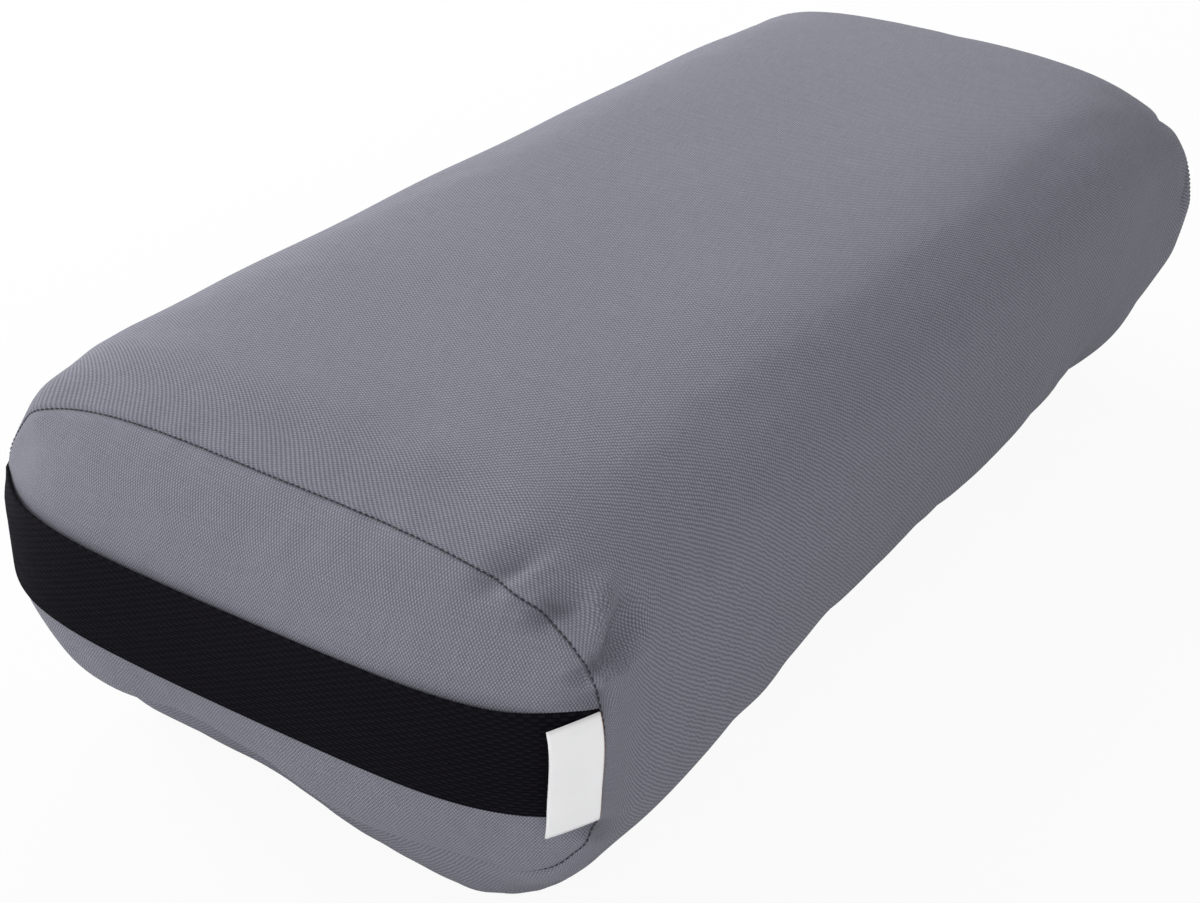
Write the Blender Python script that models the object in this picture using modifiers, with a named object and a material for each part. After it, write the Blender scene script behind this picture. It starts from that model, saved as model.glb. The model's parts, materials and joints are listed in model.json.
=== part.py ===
"""Rectangular yoga bolster: a zipped canvas cover with a webbing handle, over a padded foam inner cushion.

+Y runs along the bolster from the handle end to the far end, +X is across it and +Z is up.
The origin is the middle of the flat face that it rests on. Lengths are in metres.
The zipper runs along the middle of the side that faces -X.
"""

import math

import bmesh
import bpy
import numpy as np

# The stuffed cover: the span between its two end seams, and its full width and height.
SEAM_SPAN = 0.640
BODY_WIDTH = 0.292
BODY_HEIGHT = 0.185

# How far each end panel swells past its seam, and how much lower or higher the seam lies than the middle.
END_SWELL = 0.0287
TOP_DRAW = 0.016
BOTTOM_DRAW = 0.032
DRAW_REACH = 0.040
# The round belly would reach this far below the floor, and lies flat there instead, with a softened edge.
BELLY_DROP = 0.020
FLOOR_SOFTENING = 0.009

# Roundness of the outline: 2 is an ellipse, and a higher power is squarer.
END_TOP_POWER = 3.7
END_BOTTOM_POWER = 2.7
MIDDLE_TOP_POWER = 4.3
MIDDLE_BOTTOM_POWER = 2.05
DRAW_POWER = 2.0
SWELL_POWER = 4.6

# Cloth thicknesses, and the gap that touching pieces keep.
CANVAS = 0.0012
LINING = 0.0006
CLEARANCE = 0.0003
SEAM_ALLOWANCE = 0.004

# Handle of flat webbing, sewn into both side ends of the near seam.
STRAP_WIDTH = 0.044
STRAP_THICKNESS = 0.0018
STRAP_RISE = 0.012
STRAP_OVERHANG = 0.0012
STRAP_POWER = 5.0

# Blank woven label over the strap's right end.
LABEL_WIDTH = 0.021
LABEL_HEIGHT = 0.045
LABEL_THICKNESS = 0.0008

# Foam core and the batting round it.
BATTING_SIDES = 0.034
BATTING_FACES = 0.038
BATTING_ENDS = 0.030
CORE_EDGE = 0.006

# Coil zipper, closed, with its slider at the handle end.
ZIP_END_MARGIN = 0.090
ZIP_SLOT = 0.009
TAPE_THICKNESS = 0.0005
TAPE_UNDER_CANVAS = 0.007
TAPE_PAST_SLOT = 0.010
COIL_WIDTH = 0.0025
COIL_THICKNESS = 0.0024
POST = 0.0008
SLIDER_LENGTH = 0.011
SLIDER_PLATE = 0.0010
SLIDER_BACK = 0.0008
SLIDER_WALL = 0.0007
STOP_LENGTH = 0.004
STOP_MARGIN = 0.006
BRIDGE_WIRE = 0.0010
BRIDGE_SPAN = 0.0046
PULL_BAR = 0.0011
PULL_LENGTH = 0.026
PULL_WIDTH = 0.0066
PULL_ARM = 0.0014
PULL_EYE = 0.0050

# Counts that set how fine the cloth is.
COLUMNS = 40
PATH_STEPS = 32
SIDE_COLUMNS = 6

# Distances from a seam, as shares of DRAW_REACH, at which the tube of cloth has a ring of points.
WRAP_RING_SHARES = (0.0, 0.15, 0.38, 0.70, 1.10, 1.60, 2.30, 3.00)
LINING_RING_SHARES = (0.0, 0.38, 1.10, 1.60, 2.30, 3.00)
SQUARING_SHARE = 3.0
# Sizes of an end panel's rings as shares of its seam.
PANEL_RING_SHARES = (1.0, 0.97, 0.92, 0.84, 0.70, 0.42)
INNER_RING_SHARES = (1.0, 0.90, 0.62)
# The panel is mitred to its seam there, and the mitre fades inwards with this power of the same share.
MITRE_POWER = 8

MIDDLE = BODY_HEIGHT / 2
SEAM_Y = SEAM_SPAN / 2
ZIP_FACE = -BODY_WIDTH / 2
SLOT_END = SEAM_Y - ZIP_END_MARGIN

PAINTS = {
    "canvas": ((0.242, 0.240, 0.275), 0.9, 0.0),
    "webbing": ((0.012, 0.011, 0.014), 0.85, 0.0),
    "label_satin": ((0.80, 0.80, 0.80), 0.5, 0.0),
    "zipper_tape": ((0.200, 0.200, 0.225), 0.9, 0.0),
    "zipper_coil": ((0.150, 0.150, 0.170), 0.45, 0.0),
    "zipper_metal": ((0.300, 0.300, 0.310), 0.35, 0.9),
    "muslin": ((0.740, 0.700, 0.610), 0.95, 0.0),
    "batting": ((0.850, 0.840, 0.800), 1.0, 0.0),
    "foam": ((0.800, 0.740, 0.560), 0.95, 0.0),
}


def clear_scene():
    """Removes whatever the scene held."""
    for item in list(bpy.data.objects):
        bpy.data.objects.remove(item, do_unlink=True)


def make_collection(name):
    """A new collection in the scene."""
    collection = bpy.data.collections.new(name)
    bpy.context.scene.collection.children.link(collection)
    return collection


clear_scene()
PARTS = make_collection("yoga_bolster")
CUTTERS = make_collection("cutters")


def paint(name):
    """The Principled material of one finish, made once."""
    found = bpy.data.materials.get(name)
    if found:
        return found
    colour, roughness, metallic = PAINTS[name]
    material = bpy.data.materials.new(name)
    material.use_nodes = True
    shader = material.node_tree.nodes["Principled BSDF"]
    shader.inputs["Base Color"].default_value = (*colour, 1.0)
    shader.inputs["Roughness"].default_value = roughness
    shader.inputs["Metallic"].default_value = metallic
    return material


def add_object(name, data, finish=None):
    """Links an object as a part, or as a hidden cutter where it has no finish."""
    item = bpy.data.objects.new(name, data)
    if finish:
        PARTS.objects.link(item)
        item.data.materials.append(paint(finish))
    else:
        CUTTERS.objects.link(item)
        item.hide_render = True
        item.display_type = "WIRE"
    return item


def smooth(mesh, degrees=40):
    """Shades a mesh smooth, apart from edges sharper than this."""
    mesh.shade_smooth()
    mesh.set_sharp_from_angle(angle=math.radians(degrees))


def mesh_from(name, build):
    """A mesh made by build, which fills the bmesh that it is given."""
    mesh = bpy.data.meshes.new(name)
    work = bmesh.new()
    build(work)
    work.to_mesh(mesh)
    work.free()
    return mesh


def ease_in(share):
    """A smooth step from 0 to 1."""
    share = min(max(share, 0.0), 1.0)
    return share * share * (3 - 2 * share)


def outline_angles(columns):
    """Angles round the outline, from the zipper slot's upper edge over the top to its lower edge."""
    upper = math.asin((ZIP_SLOT / 2 / (BODY_HEIGHT / 2)) ** (MIDDLE_TOP_POWER / 2))
    lower = math.asin((ZIP_SLOT / 2 / (BODY_HEIGHT / 2 + BELLY_DROP)) ** (MIDDLE_BOTTOM_POWER / 2))
    return np.linspace(math.pi - upper, lower - math.pi, columns)


ANGLES = outline_angles(COLUMNS)
COARSE_ANGLES = ANGLES[::2]


def outline(distance, ease, floor, angles):
    """The cloth's outline at a distance from its seam, as x and z, lying ease inside the cover's outer face."""
    near = max(0.0, 1.0 - distance / DRAW_REACH) ** DRAW_POWER
    square = ease_in(distance / (DRAW_REACH * SQUARING_SHARE))
    top_power = END_TOP_POWER + (MIDDLE_TOP_POWER - END_TOP_POWER) * square
    bottom_power = END_BOTTOM_POWER + (MIDDLE_BOTTOM_POWER - END_BOTTOM_POWER) * square
    half_width = BODY_WIDTH / 2 - ease
    half_top = BODY_HEIGHT / 2 - TOP_DRAW * near - ease
    half_bottom = BODY_HEIGHT / 2 + BELLY_DROP - (BOTTOM_DRAW + BELLY_DROP) * near - ease
    cosine = np.cos(angles)
    sine = np.sin(angles)
    power = np.where(sine >= 0, top_power, bottom_power)
    half_height = np.where(sine >= 0, half_top, half_bottom)
    x = half_width * np.sign(cosine) * np.abs(cosine) ** (2 / power)
    z = MIDDLE + half_height * np.sign(sine) * np.abs(sine) ** (2 / power)
    return x, floor + flattened(z - floor)


def flattened(height):
    """Heights above a floor, with those below it laid flat on it and the edge between them rounded."""
    soft = (height + FLOOR_SOFTENING) ** 2 / (4 * FLOOR_SOFTENING)
    return np.where(height > FLOOR_SOFTENING, height, np.where(height < -FLOOR_SOFTENING, 0.0, soft))


def side_drop(reach):
    """How far the cloth's lower side has curved in at a reach below the zipper's line."""
    x, z = outline(SEAM_Y, 0.0, 0.0, ANGLES[-SIDE_COLUMNS:])
    return BODY_WIDTH / 2 + float(np.interp(-reach, z - MIDDLE, x))


# How deep each piece of the zipper lies behind the cover's outer face.
TAPE_REACH = ZIP_SLOT / 2 + TAPE_UNDER_CANVAS
TAPE_FRONT = CANVAS + side_drop(TAPE_REACH) + CLEARANCE
TAPE_BACK = TAPE_FRONT + TAPE_THICKNESS
COIL_BACK = TAPE_FRONT - CLEARANCE
COIL_FRONT = COIL_BACK - COIL_THICKNESS
PLATE_BACK = COIL_FRONT - CLEARANCE
PLATE_FRONT = PLATE_BACK - SLIDER_PLATE
SLIDER_REAR = TAPE_BACK + CLEARANCE
CENTRE_GAP = POST / 2 + CLEARANCE
COIL_EDGE = CENTRE_GAP + COIL_WIDTH

# How far each inner layer lies inside the cover's outer face, and the height of its flat underside.
LINING_EASE = SLIDER_REAR + SLIDER_BACK + CLEARANCE
LINING_FLOOR = CANVAS + CLEARANCE
BATTING_EASE = LINING_EASE + 2 * LINING
BATTING_FLOOR = LINING_FLOOR + LINING + CLEARANCE


def wrap_ring(y, ease, floor, angles):
    """One ring of points of the tube of cloth, whose seams lie ease inside the cover's."""
    x, z = outline(SEAM_Y - ease - abs(y), ease, floor, angles)
    return [(px, y, pz) for px, pz in zip(x, z)]


def swell(share):
    """How far an end panel stands past its seam, at a share of the way out from its middle."""
    return END_SWELL * (1 - share**SWELL_POWER)


def end_ring(share, end, ease, floor, angles, inward=0.0):
    """One ring of an end panel: its seam's outline shrunk to a share. end is -1 for the near end."""
    x, z = outline(0.0, ease, floor, angles)
    y = end * (SEAM_Y - ease + swell(share) - inward)
    return [(px * share, y, MIDDLE + (pz - MIDDLE) * share) for px, pz in zip(x, z)]


def add_rings(work, rings):
    """Puts rings of points in a bmesh and gives back its vertices, ring by ring."""
    return [[work.verts.new(point) for point in ring] for ring in rings]


def join_rings(work, rings, skip=None):
    """Faces between neighbouring rings. skip(row, column) leaves a face out."""
    for row, (first, second) in enumerate(zip(rings, rings[1:])):
        for column in range(len(first)):
            after = (column + 1) % len(first)
            if skip and skip(row, column):
                continue
            work.faces.new((first[column], first[after], second[after], second[column]))


def close_ring(work, ring, point):
    """Closes a ring with triangles to a middle point."""
    middle = work.verts.new(point)
    for first, second in zip(ring, ring[1:] + ring[:1]):
        work.faces.new((first, second, middle))


def add_wrap(name, finish, ease, floor, thickness, rows, angles, lip=0.0, slot=False):
    """A tube of cloth between the end seams, with its edges turned in by lip and a zipper slot if asked."""

    def build(work):
        rings = [wrap_ring(y, ease, floor, angles) for y in rows]
        if lip:
            rings = [turned_in(rings[0], lip), *rings, turned_in(rings[-1], lip)]
        made = add_rings(work, rings)
        last = len(angles) - 1

        def in_slot(row, column):
            between = (rings[row][0][1] + rings[row + 1][0][1]) / 2
            return slot and column == last and abs(between) < SLOT_END

        join_rings(work, made, in_slot)

    item = add_object(name, mesh_from(name, build), finish)
    wall = item.modifiers.new("cloth", "SOLIDIFY")
    wall.thickness = thickness
    wall.offset = -1.0
    wall.use_even_offset = True
    smooth(item.data)
    return item


def turned_in(ring, lip):
    """The ring's edge turned in towards the middle by a seam allowance."""
    turned = []
    for x, y, z in ring:
        away = math.hypot(x, z - MIDDLE)
        kept = (away - lip) / away
        turned.append((x * kept, y, MIDDLE + (z - MIDDLE) * kept))
    return turned


def add_end_panel(name, finish, end, ease, floor, thickness, shares, angles, seam_gap):
    """A swelling end panel, whose edge lies flat against the tube's."""

    def build(work):
        outer = [end_ring(share, end, ease, floor, angles, -seam_gap) for share in reversed(shares)]
        inner = [
            end_ring(share, end, ease + thickness, floor, angles, -thickness * share**MITRE_POWER - seam_gap)
            for share in shares
        ]
        rings = add_rings(work, outer + inner)
        join_rings(work, rings)
        reach = SEAM_Y - ease + END_SWELL + seam_gap
        close_ring(work, rings[0], (0.0, end * reach, MIDDLE))
        close_ring(work, rings[-1], (0.0, end * (reach - thickness), MIDDLE))
        bmesh.ops.recalc_face_normals(work, faces=work.faces)

    item = add_object(name, mesh_from(name, build), finish)
    smooth(item.data)
    return item


def ring_rows(shares, ease, extra=()):
    """Places along Y of the tube's rings, from the near seam to the far one."""
    seam = SEAM_Y - ease
    distances = sorted({share * DRAW_REACH for share in shares} | set(extra))
    near = [-seam + distance for distance in distances]
    return near + [-y for y in reversed(near)]


def add_cover():
    """The canvas tube with its zipper slot, and the two canvas end panels."""
    seam_gap = CLEARANCE / 2
    rows = ring_rows(WRAP_RING_SHARES, 0.0, [ZIP_END_MARGIN])
    rows[0] += seam_gap
    rows[-1] -= seam_gap
    add_wrap("cover_body_panel", "canvas", 0.0, 0.0, CANVAS, rows, ANGLES, SEAM_ALLOWANCE, True)
    add_end_panel("cover_near_end_panel", "canvas", -1, 0.0, 0.0, CANVAS, PANEL_RING_SHARES, ANGLES, seam_gap)
    add_end_panel("cover_far_end_panel", "canvas", 1, 0.0, 0.0, CANVAS, PANEL_RING_SHARES, ANGLES, seam_gap)


def add_inner_case():
    """The inner cushion's muslin case, a tube and two end panels."""
    seam_gap = CLEARANCE / 2
    rows = ring_rows(LINING_RING_SHARES, LINING_EASE)
    rows[0] += seam_gap
    rows[-1] -= seam_gap
    add_wrap("inner_case_wrap", "muslin", LINING_EASE, LINING_FLOOR, LINING, rows, COARSE_ANGLES)
    for end, name in ((-1, "inner_case_near_end"), (1, "inner_case_far_end")):
        add_end_panel(
            name, "muslin", end, LINING_EASE, LINING_FLOOR, LINING, INNER_RING_SHARES, COARSE_ANGLES, seam_gap
        )


def box(name, low, high, finish=None, edge=0.0, segments=2):
    """A block between two corners, with its edges rounded by edge."""
    size = [b - a for a, b in zip(low, high)]
    middle = [(a + b) / 2 for a, b in zip(low, high)]

    def build(work):
        bmesh.ops.create_cube(work, size=1.0)
        bmesh.ops.scale(work, verts=work.verts, vec=size)

    item = add_object(name, mesh_from(name, build), finish)
    item.location = middle
    if edge:
        bevel = item.modifiers.new("rounded_edges", "BEVEL")
        bevel.width = edge
        bevel.segments = segments
    return item


def cut(item, cutter):
    """Takes the cutter's shape out of an object."""
    difference = item.modifiers.new("cut_" + cutter.name, "BOOLEAN")
    difference.operation = "DIFFERENCE"
    difference.object = cutter


def add_batting():
    """Two sheets of batting that meet at mid-height and close round the core."""

    def build(work):
        rows = ring_rows(LINING_RING_SHARES, BATTING_EASE)
        near, far = (
            [end_ring(share, end, BATTING_EASE, BATTING_FLOOR, COARSE_ANGLES) for share in INNER_RING_SHARES[1:]]
            for end in (-1, 1)
        )
        tube = [wrap_ring(y, BATTING_EASE, BATTING_FLOOR, COARSE_ANGLES) for y in rows]
        rings = add_rings(work, near[::-1] + tube + far)
        join_rings(work, rings)
        reach = SEAM_Y - BATTING_EASE + END_SWELL
        close_ring(work, rings[0], (0.0, -reach, MIDDLE))
        close_ring(work, rings[-1], (0.0, reach, MIDDLE))
        bmesh.ops.recalc_face_normals(work, faces=work.faces)

    pocket = box("core_pocket", *core_corners(CLEARANCE))
    for name, side in (("batting_upper", 1), ("batting_lower", -1)):
        half = add_object(name, mesh_from(name, build), "batting")
        parting = MIDDLE + side * CLEARANCE / 2
        beyond = MIDDLE - side * BODY_HEIGHT
        low, high = sorted((parting, beyond))
        cut(half, box(name + "_parting", (-BODY_WIDTH, -SEAM_SPAN, low), (BODY_WIDTH, SEAM_SPAN, high)))
        cut(half, pocket)


def core_corners(grow=0.0):
    """The foam core's lowest and highest corners."""
    half = (
        BODY_WIDTH / 2 - BATTING_SIDES + grow,
        SEAM_Y - BATTING_ENDS + grow,
        BODY_HEIGHT / 2 - BATTING_FACES + grow,
    )
    return (-half[0], -half[1], MIDDLE - half[2]), (half[0], half[1], MIDDLE + half[2])


def add_core():
    """Two slabs of foam, one on the other."""
    low, high = core_corners()
    box("foam_core_lower", low, (high[0], high[1], MIDDLE - CLEARANCE / 2), "foam", CORE_EDGE)
    box("foam_core_upper", (low[0], low[1], MIDDLE + CLEARANCE / 2), high, "foam", CORE_EDGE)


def offset_path(points, distance):
    """The path moved sideways by a distance, to the right of the way that it runs."""
    moved = []
    for index, (x, y) in enumerate(points):
        before = points[max(index - 1, 0)]
        after = points[min(index + 1, len(points) - 1)]
        run, rise = after[0] - before[0], after[1] - before[1]
        length = math.hypot(run, rise)
        moved.append((x + rise / length * distance, y - run / length * distance))
    return moved


def plate(name, outlines, thickness, finish=None):
    """A flat plate whose outline, and any holes, are lists of points in its own XY plane."""
    curve = bpy.data.curves.new(name, "CURVE")
    curve.dimensions = "2D"
    curve.fill_mode = "BOTH"
    curve.extrude = thickness / 2
    for points in outlines:
        spline = curve.splines.new("POLY")
        spline.points.add(len(points) - 1)
        for point, (x, y) in zip(spline.points, points):
            point.co = (x, y, 0.0, 1.0)
        spline.use_cyclic_u = True
    return add_object(name, curve, finish)


def as_mesh(item):
    """Turns a curve object into a mesh object with its caps welded."""
    bpy.context.view_layer.update()
    graph = bpy.context.evaluated_depsgraph_get()
    mesh = bpy.data.meshes.new_from_object(item.evaluated_get(graph))
    work = bmesh.new()
    work.from_mesh(mesh)
    bmesh.ops.remove_doubles(work, verts=work.verts, dist=CLEARANCE / 100)
    work.to_mesh(mesh)
    work.free()
    made = bpy.data.objects.new(item.name + "_mesh", mesh)
    made.matrix_world = item.matrix_world
    for collection in item.users_collection:
        collection.objects.link(made)
    made.hide_render = item.hide_render
    made.display_type = item.display_type
    name = item.name
    bpy.data.objects.remove(item)
    made.name = name
    return made


def strap_path(steps=PATH_STEPS):
    """The back of the strap in plan, from the left seam to the right one, clear of the end panel."""
    reach = BODY_WIDTH / 2 + STRAP_OVERHANG
    path = []
    for angle in np.linspace(-math.pi / 2, math.pi / 2, steps + 1):
        share = math.sin(angle)
        rise = END_SWELL * (1 - abs(share) ** STRAP_POWER)
        path.append((share * reach, -(SEAM_Y + CLEARANCE + rise)))
    return path


def ribbon(name, path, thickness, width, height, finish):
    """A flat band on edge along a path in plan, its middle at a height."""
    front = offset_path(path, thickness)
    band = plate(name, [path + front[::-1]], width, finish)
    band.location = (0.0, 0.0, height)
    return band


def add_handle():
    """The webbing handle across the near end panel."""
    ribbon("handle_strap", strap_path(), STRAP_THICKNESS, STRAP_WIDTH, MIDDLE + STRAP_RISE, "webbing")


def add_label():
    """A blank label from the right seam back over the strap's end."""
    steps = 4 * PATH_STEPS
    back = offset_path(strap_path(steps), STRAP_THICKNESS + CLEARANCE)
    kept, length = [back[-1]], 0.0
    for point in reversed(back[:-1]):
        length += math.dist(point, kept[-1])
        kept.append(point)
        if length >= LABEL_WIDTH:
            break
    hinge = kept[0]
    path = [(x - hinge[0], y - hinge[1]) for x, y in reversed(kept)]
    label = ribbon("blank_label", path, LABEL_THICKNESS, LABEL_HEIGHT, 0.0, "label_satin")
    label.location = (hinge[0], hinge[1], MIDDLE + STRAP_RISE)


def zip_box(name, finish, y, z, depth):
    """A block on the zipper's line: its span along Y and Z, and its depths behind the cover's face."""
    low = (ZIP_FACE + depth[0], y[0], MIDDLE + z[0])
    high = (ZIP_FACE + depth[1], y[1], MIDDLE + z[1])
    return box(name, low, high, finish)


# The track between the stops, the slider's middle when the zipper is closed, and its travel.
TRACK_END = SLOT_END - STOP_MARGIN - STOP_LENGTH
SLIDER_REST = -TRACK_END + 2 * CLEARANCE + SLIDER_LENGTH / 2
SLIDER_TRAVEL = -2 * SLIDER_REST


def add_zipper_track():
    """Both tapes with half of the coil each, the two top stops and the bottom stop."""
    tape_end = SLOT_END + TAPE_PAST_SLOT
    coil_end = TRACK_END
    stop_depth = (COIL_FRONT, COIL_BACK)
    for name, side in (("upper", 1), ("lower", -1)):
        tape = sorted((side * CENTRE_GAP, side * TAPE_REACH))
        coil = sorted((side * CENTRE_GAP, side * COIL_EDGE))
        zip_box("zipper_tape_" + name, "zipper_tape", (-tape_end, tape_end), tape, (TAPE_FRONT, TAPE_BACK))
        strip = zip_box("zipper_coil_" + name, "zipper_coil", (-coil_end, coil_end), coil, (COIL_FRONT, COIL_BACK))
        round_front(strip)
        far = -TRACK_END - CLEARANCE
        zip_box("zipper_top_stop_" + name, "zipper_metal", (far - STOP_LENGTH, far), coil, stop_depth)
    near = TRACK_END + CLEARANCE
    zip_box("zipper_bottom_stop", "zipper_metal", (near, near + STOP_LENGTH), (-COIL_EDGE, COIL_EDGE), stop_depth)


def round_front(strip):
    """Rounds the long outer edges of a coil."""
    bevel = strip.modifiers.new("rounded_edges", "BEVEL")
    bevel.width = COIL_THICKNESS / 4
    bevel.segments = 2
    bevel.limit_method = "ANGLE"


def slider_outline():
    """The slider's cross-section: x is depth behind the cover's face, y is height from the zipper's middle."""
    wall_in = COIL_EDGE + CLEARANCE
    wall_out = wall_in + SLIDER_WALL
    wall_end = COIL_BACK - CLEARANCE
    rear_out = COIL_EDGE
    half = [
        (PLATE_FRONT, wall_out),
        (wall_end, wall_out),
        (wall_end, wall_in),
        (PLATE_BACK, wall_in),
        (PLATE_BACK, POST / 2),
        (SLIDER_REAR, POST / 2),
        (SLIDER_REAR, rear_out),
        (SLIDER_REAR + SLIDER_BACK, rear_out),
    ]
    return half + [(x, -y) for x, y in reversed(half)]


def add_slider(pivot):
    """The slider's body with its wire bridge, and an empty on the pull tab's axis."""
    body = plate("zipper_slider", [slider_outline()], SLIDER_LENGTH, "zipper_metal")
    body.rotation_euler = (math.pi / 2, 0.0, 0.0)
    body.location = (ZIP_FACE, SLIDER_REST, MIDDLE)
    body = as_mesh(body)
    bridge = bpy.data.curves.new("bridge", "CURVE")
    bridge.dimensions = "3D"
    bridge.bevel_depth = BRIDGE_WIRE / 2
    bridge.bevel_resolution = 2
    bridge.use_fill_caps = True
    half_span = BRIDGE_SPAN / 2
    top = bridge_height()
    shoulder = BRIDGE_WIRE / 2
    points = [
        (-half_span, -SLIDER_PLATE / 2),
        (-half_span, top - shoulder),
        (-half_span + shoulder, top),
        (half_span - shoulder, top),
        (half_span, top - shoulder),
        (half_span, -SLIDER_PLATE / 2),
    ]
    spline = bridge.splines.new("POLY")
    spline.points.add(len(points) - 1)
    for point, (along, out) in zip(spline.points, points):
        point.co = (ZIP_FACE + PLATE_FRONT - out, SLIDER_REST + along, MIDDLE, 1.0)
    wire = as_mesh(add_object("slider_bridge", bridge))
    union = body.modifiers.new("bridge", "BOOLEAN")
    union.operation = "UNION"
    union.object = wire
    pivot.location = (ZIP_FACE + PLATE_FRONT - PULL_BAR / 2 - CLEARANCE, SLIDER_REST, MIDDLE)
    return body


def bridge_height():
    """Height of the bridge wire's middle above the slider's plate, clear of the turning bar below it."""
    return PULL_BAR / 2 + CLEARANCE + PULL_BAR * math.sqrt(0.5) + CLEARANCE + BRIDGE_WIRE / 2


def rounded_end(length, half_width, steps=5):
    """The tab's outer end, a half ellipse from one long edge to the other."""
    ends = []
    for angle in np.linspace(-math.pi / 2, math.pi / 2, 2 * steps + 1):
        ends.append((length - half_width * (1 - math.cos(angle)), half_width * math.sin(angle)))
    return ends


def add_pull_tab(pivot):
    """A flat tab whose end bar turns under the slider's bridge. It lies over the closed coil at rest."""
    half = PULL_WIDTH / 2
    bar = PULL_BAR / 2
    outline = [(-bar, half), (-bar, -half), *rounded_end(PULL_LENGTH, half)]
    eye_half = half - PULL_ARM
    eye = [(bar, -eye_half), (bar + PULL_EYE, -eye_half), (bar + PULL_EYE, eye_half), (bar, eye_half)]
    tab = plate("zipper_pull_tab", [outline, eye], PULL_BAR, "zipper_metal")
    tab.parent = pivot
    tab.rotation_euler = (math.pi / 2, 0.0, math.pi / 2)
    return tab


def add_pivot(name):
    """An empty that a turning piece hangs on."""
    pivot = bpy.data.objects.new(name, None)
    PARTS.objects.link(pivot)
    return pivot


def main():
    """Builds every piece of the bolster."""
    add_cover()
    add_handle()
    add_label()
    add_inner_case()
    add_batting()
    add_core()
    add_zipper_track()
    pivot = add_pivot("pull_axis")
    add_slider(pivot)
    add_pull_tab(pivot)


main()
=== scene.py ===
"""The looks of a rectangular yoga bolster: its cover, handle, label, zipper and inner cushion."""

import json
import logging
import math
from collections.abc import Callable, Iterable, Iterator, Sequence
from contextlib import contextmanager
from dataclasses import dataclass, field
from enum import Enum

import bmesh
import bpy
import numpy as np
from mathutils import Matrix, Vector
from mathutils.kdtree import KDTree

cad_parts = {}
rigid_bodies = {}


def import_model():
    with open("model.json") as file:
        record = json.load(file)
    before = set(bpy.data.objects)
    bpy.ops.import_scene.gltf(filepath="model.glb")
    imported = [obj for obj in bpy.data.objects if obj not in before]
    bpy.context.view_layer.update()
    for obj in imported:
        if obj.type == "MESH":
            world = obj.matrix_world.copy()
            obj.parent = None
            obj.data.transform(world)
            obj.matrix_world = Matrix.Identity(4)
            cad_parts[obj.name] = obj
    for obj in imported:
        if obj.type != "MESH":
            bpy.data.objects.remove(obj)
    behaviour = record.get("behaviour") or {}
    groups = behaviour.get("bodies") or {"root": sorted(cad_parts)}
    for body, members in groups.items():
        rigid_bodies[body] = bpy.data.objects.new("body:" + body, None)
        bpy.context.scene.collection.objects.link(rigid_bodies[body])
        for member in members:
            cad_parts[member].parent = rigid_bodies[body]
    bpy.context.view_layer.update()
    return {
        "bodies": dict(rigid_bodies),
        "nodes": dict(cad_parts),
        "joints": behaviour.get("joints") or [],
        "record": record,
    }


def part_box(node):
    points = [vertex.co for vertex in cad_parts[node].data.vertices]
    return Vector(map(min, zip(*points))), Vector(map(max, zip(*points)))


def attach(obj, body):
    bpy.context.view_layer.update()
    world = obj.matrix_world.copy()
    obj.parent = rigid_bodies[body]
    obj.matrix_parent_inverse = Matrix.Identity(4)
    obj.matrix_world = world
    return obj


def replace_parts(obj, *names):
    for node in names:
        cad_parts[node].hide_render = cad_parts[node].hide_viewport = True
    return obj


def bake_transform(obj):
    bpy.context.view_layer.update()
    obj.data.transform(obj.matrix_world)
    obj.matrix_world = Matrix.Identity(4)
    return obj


Array = np.ndarray
Colour = tuple[float, float, float]
Point = tuple[float, float, float]

LOG = logging.getLogger("bolster")
MM = 0.001
WHITE = (1.0, 1.0, 1.0, 1.0)
PALE = (0.8, 0.8, 0.8, 1.0)


class End(Enum):
    """The two ends of the bolster, by the sign of Y there."""

    NEAR = -1
    FAR = 1


class Taper(Enum):
    """How a crease's depth changes along it."""

    FADES_OUT = "deepest where it starts"
    BOTH_WAYS = "deepest in its middle"


class Wire:
    """An output of a node, with arithmetic that adds Math nodes."""

    def __init__(self, craft: "Craft", socket: bpy.types.NodeSocket) -> None:
        """Keeps the socket and the craft that adds its nodes."""
        self.craft = craft
        self.socket = socket

    def __add__(self, other: "Wire | float") -> "Wire":
        """The sum."""
        return self.craft.math("ADD", self, other)

    def __sub__(self, other: "Wire | float") -> "Wire":
        """The difference."""
        return self.craft.math("SUBTRACT", self, other)

    def __rsub__(self, other: float) -> "Wire":
        """The difference the other way round."""
        return self.craft.math("SUBTRACT", other, self)

    def __mul__(self, other: "Wire | float") -> "Wire":
        """The product."""
        return self.craft.math("MULTIPLY", self, other)

    def __pow__(self, other: "Wire | float") -> "Wire":
        """The power."""
        return self.craft.math("POWER", self, other)

    __radd__ = __add__
    __rmul__ = __mul__

    def sine(self) -> "Wire":
        """The sine of an angle in radians."""
        return self.craft.math("SINE", self)

    def size(self) -> "Wire":
        """The value without its sign."""
        return self.craft.math("ABSOLUTE", self)

    def clamped(self) -> "Wire":
        """The value held between 0 and 1."""
        return self.craft.math("MINIMUM", self.craft.math("MAXIMUM", self, 0.0), 1.0)

    def fading(self, reach: float) -> "Wire":
        """1 at nought, falling away over a reach."""
        return self.craft.math("EXPONENT", self * (-1.0 / reach))


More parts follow.
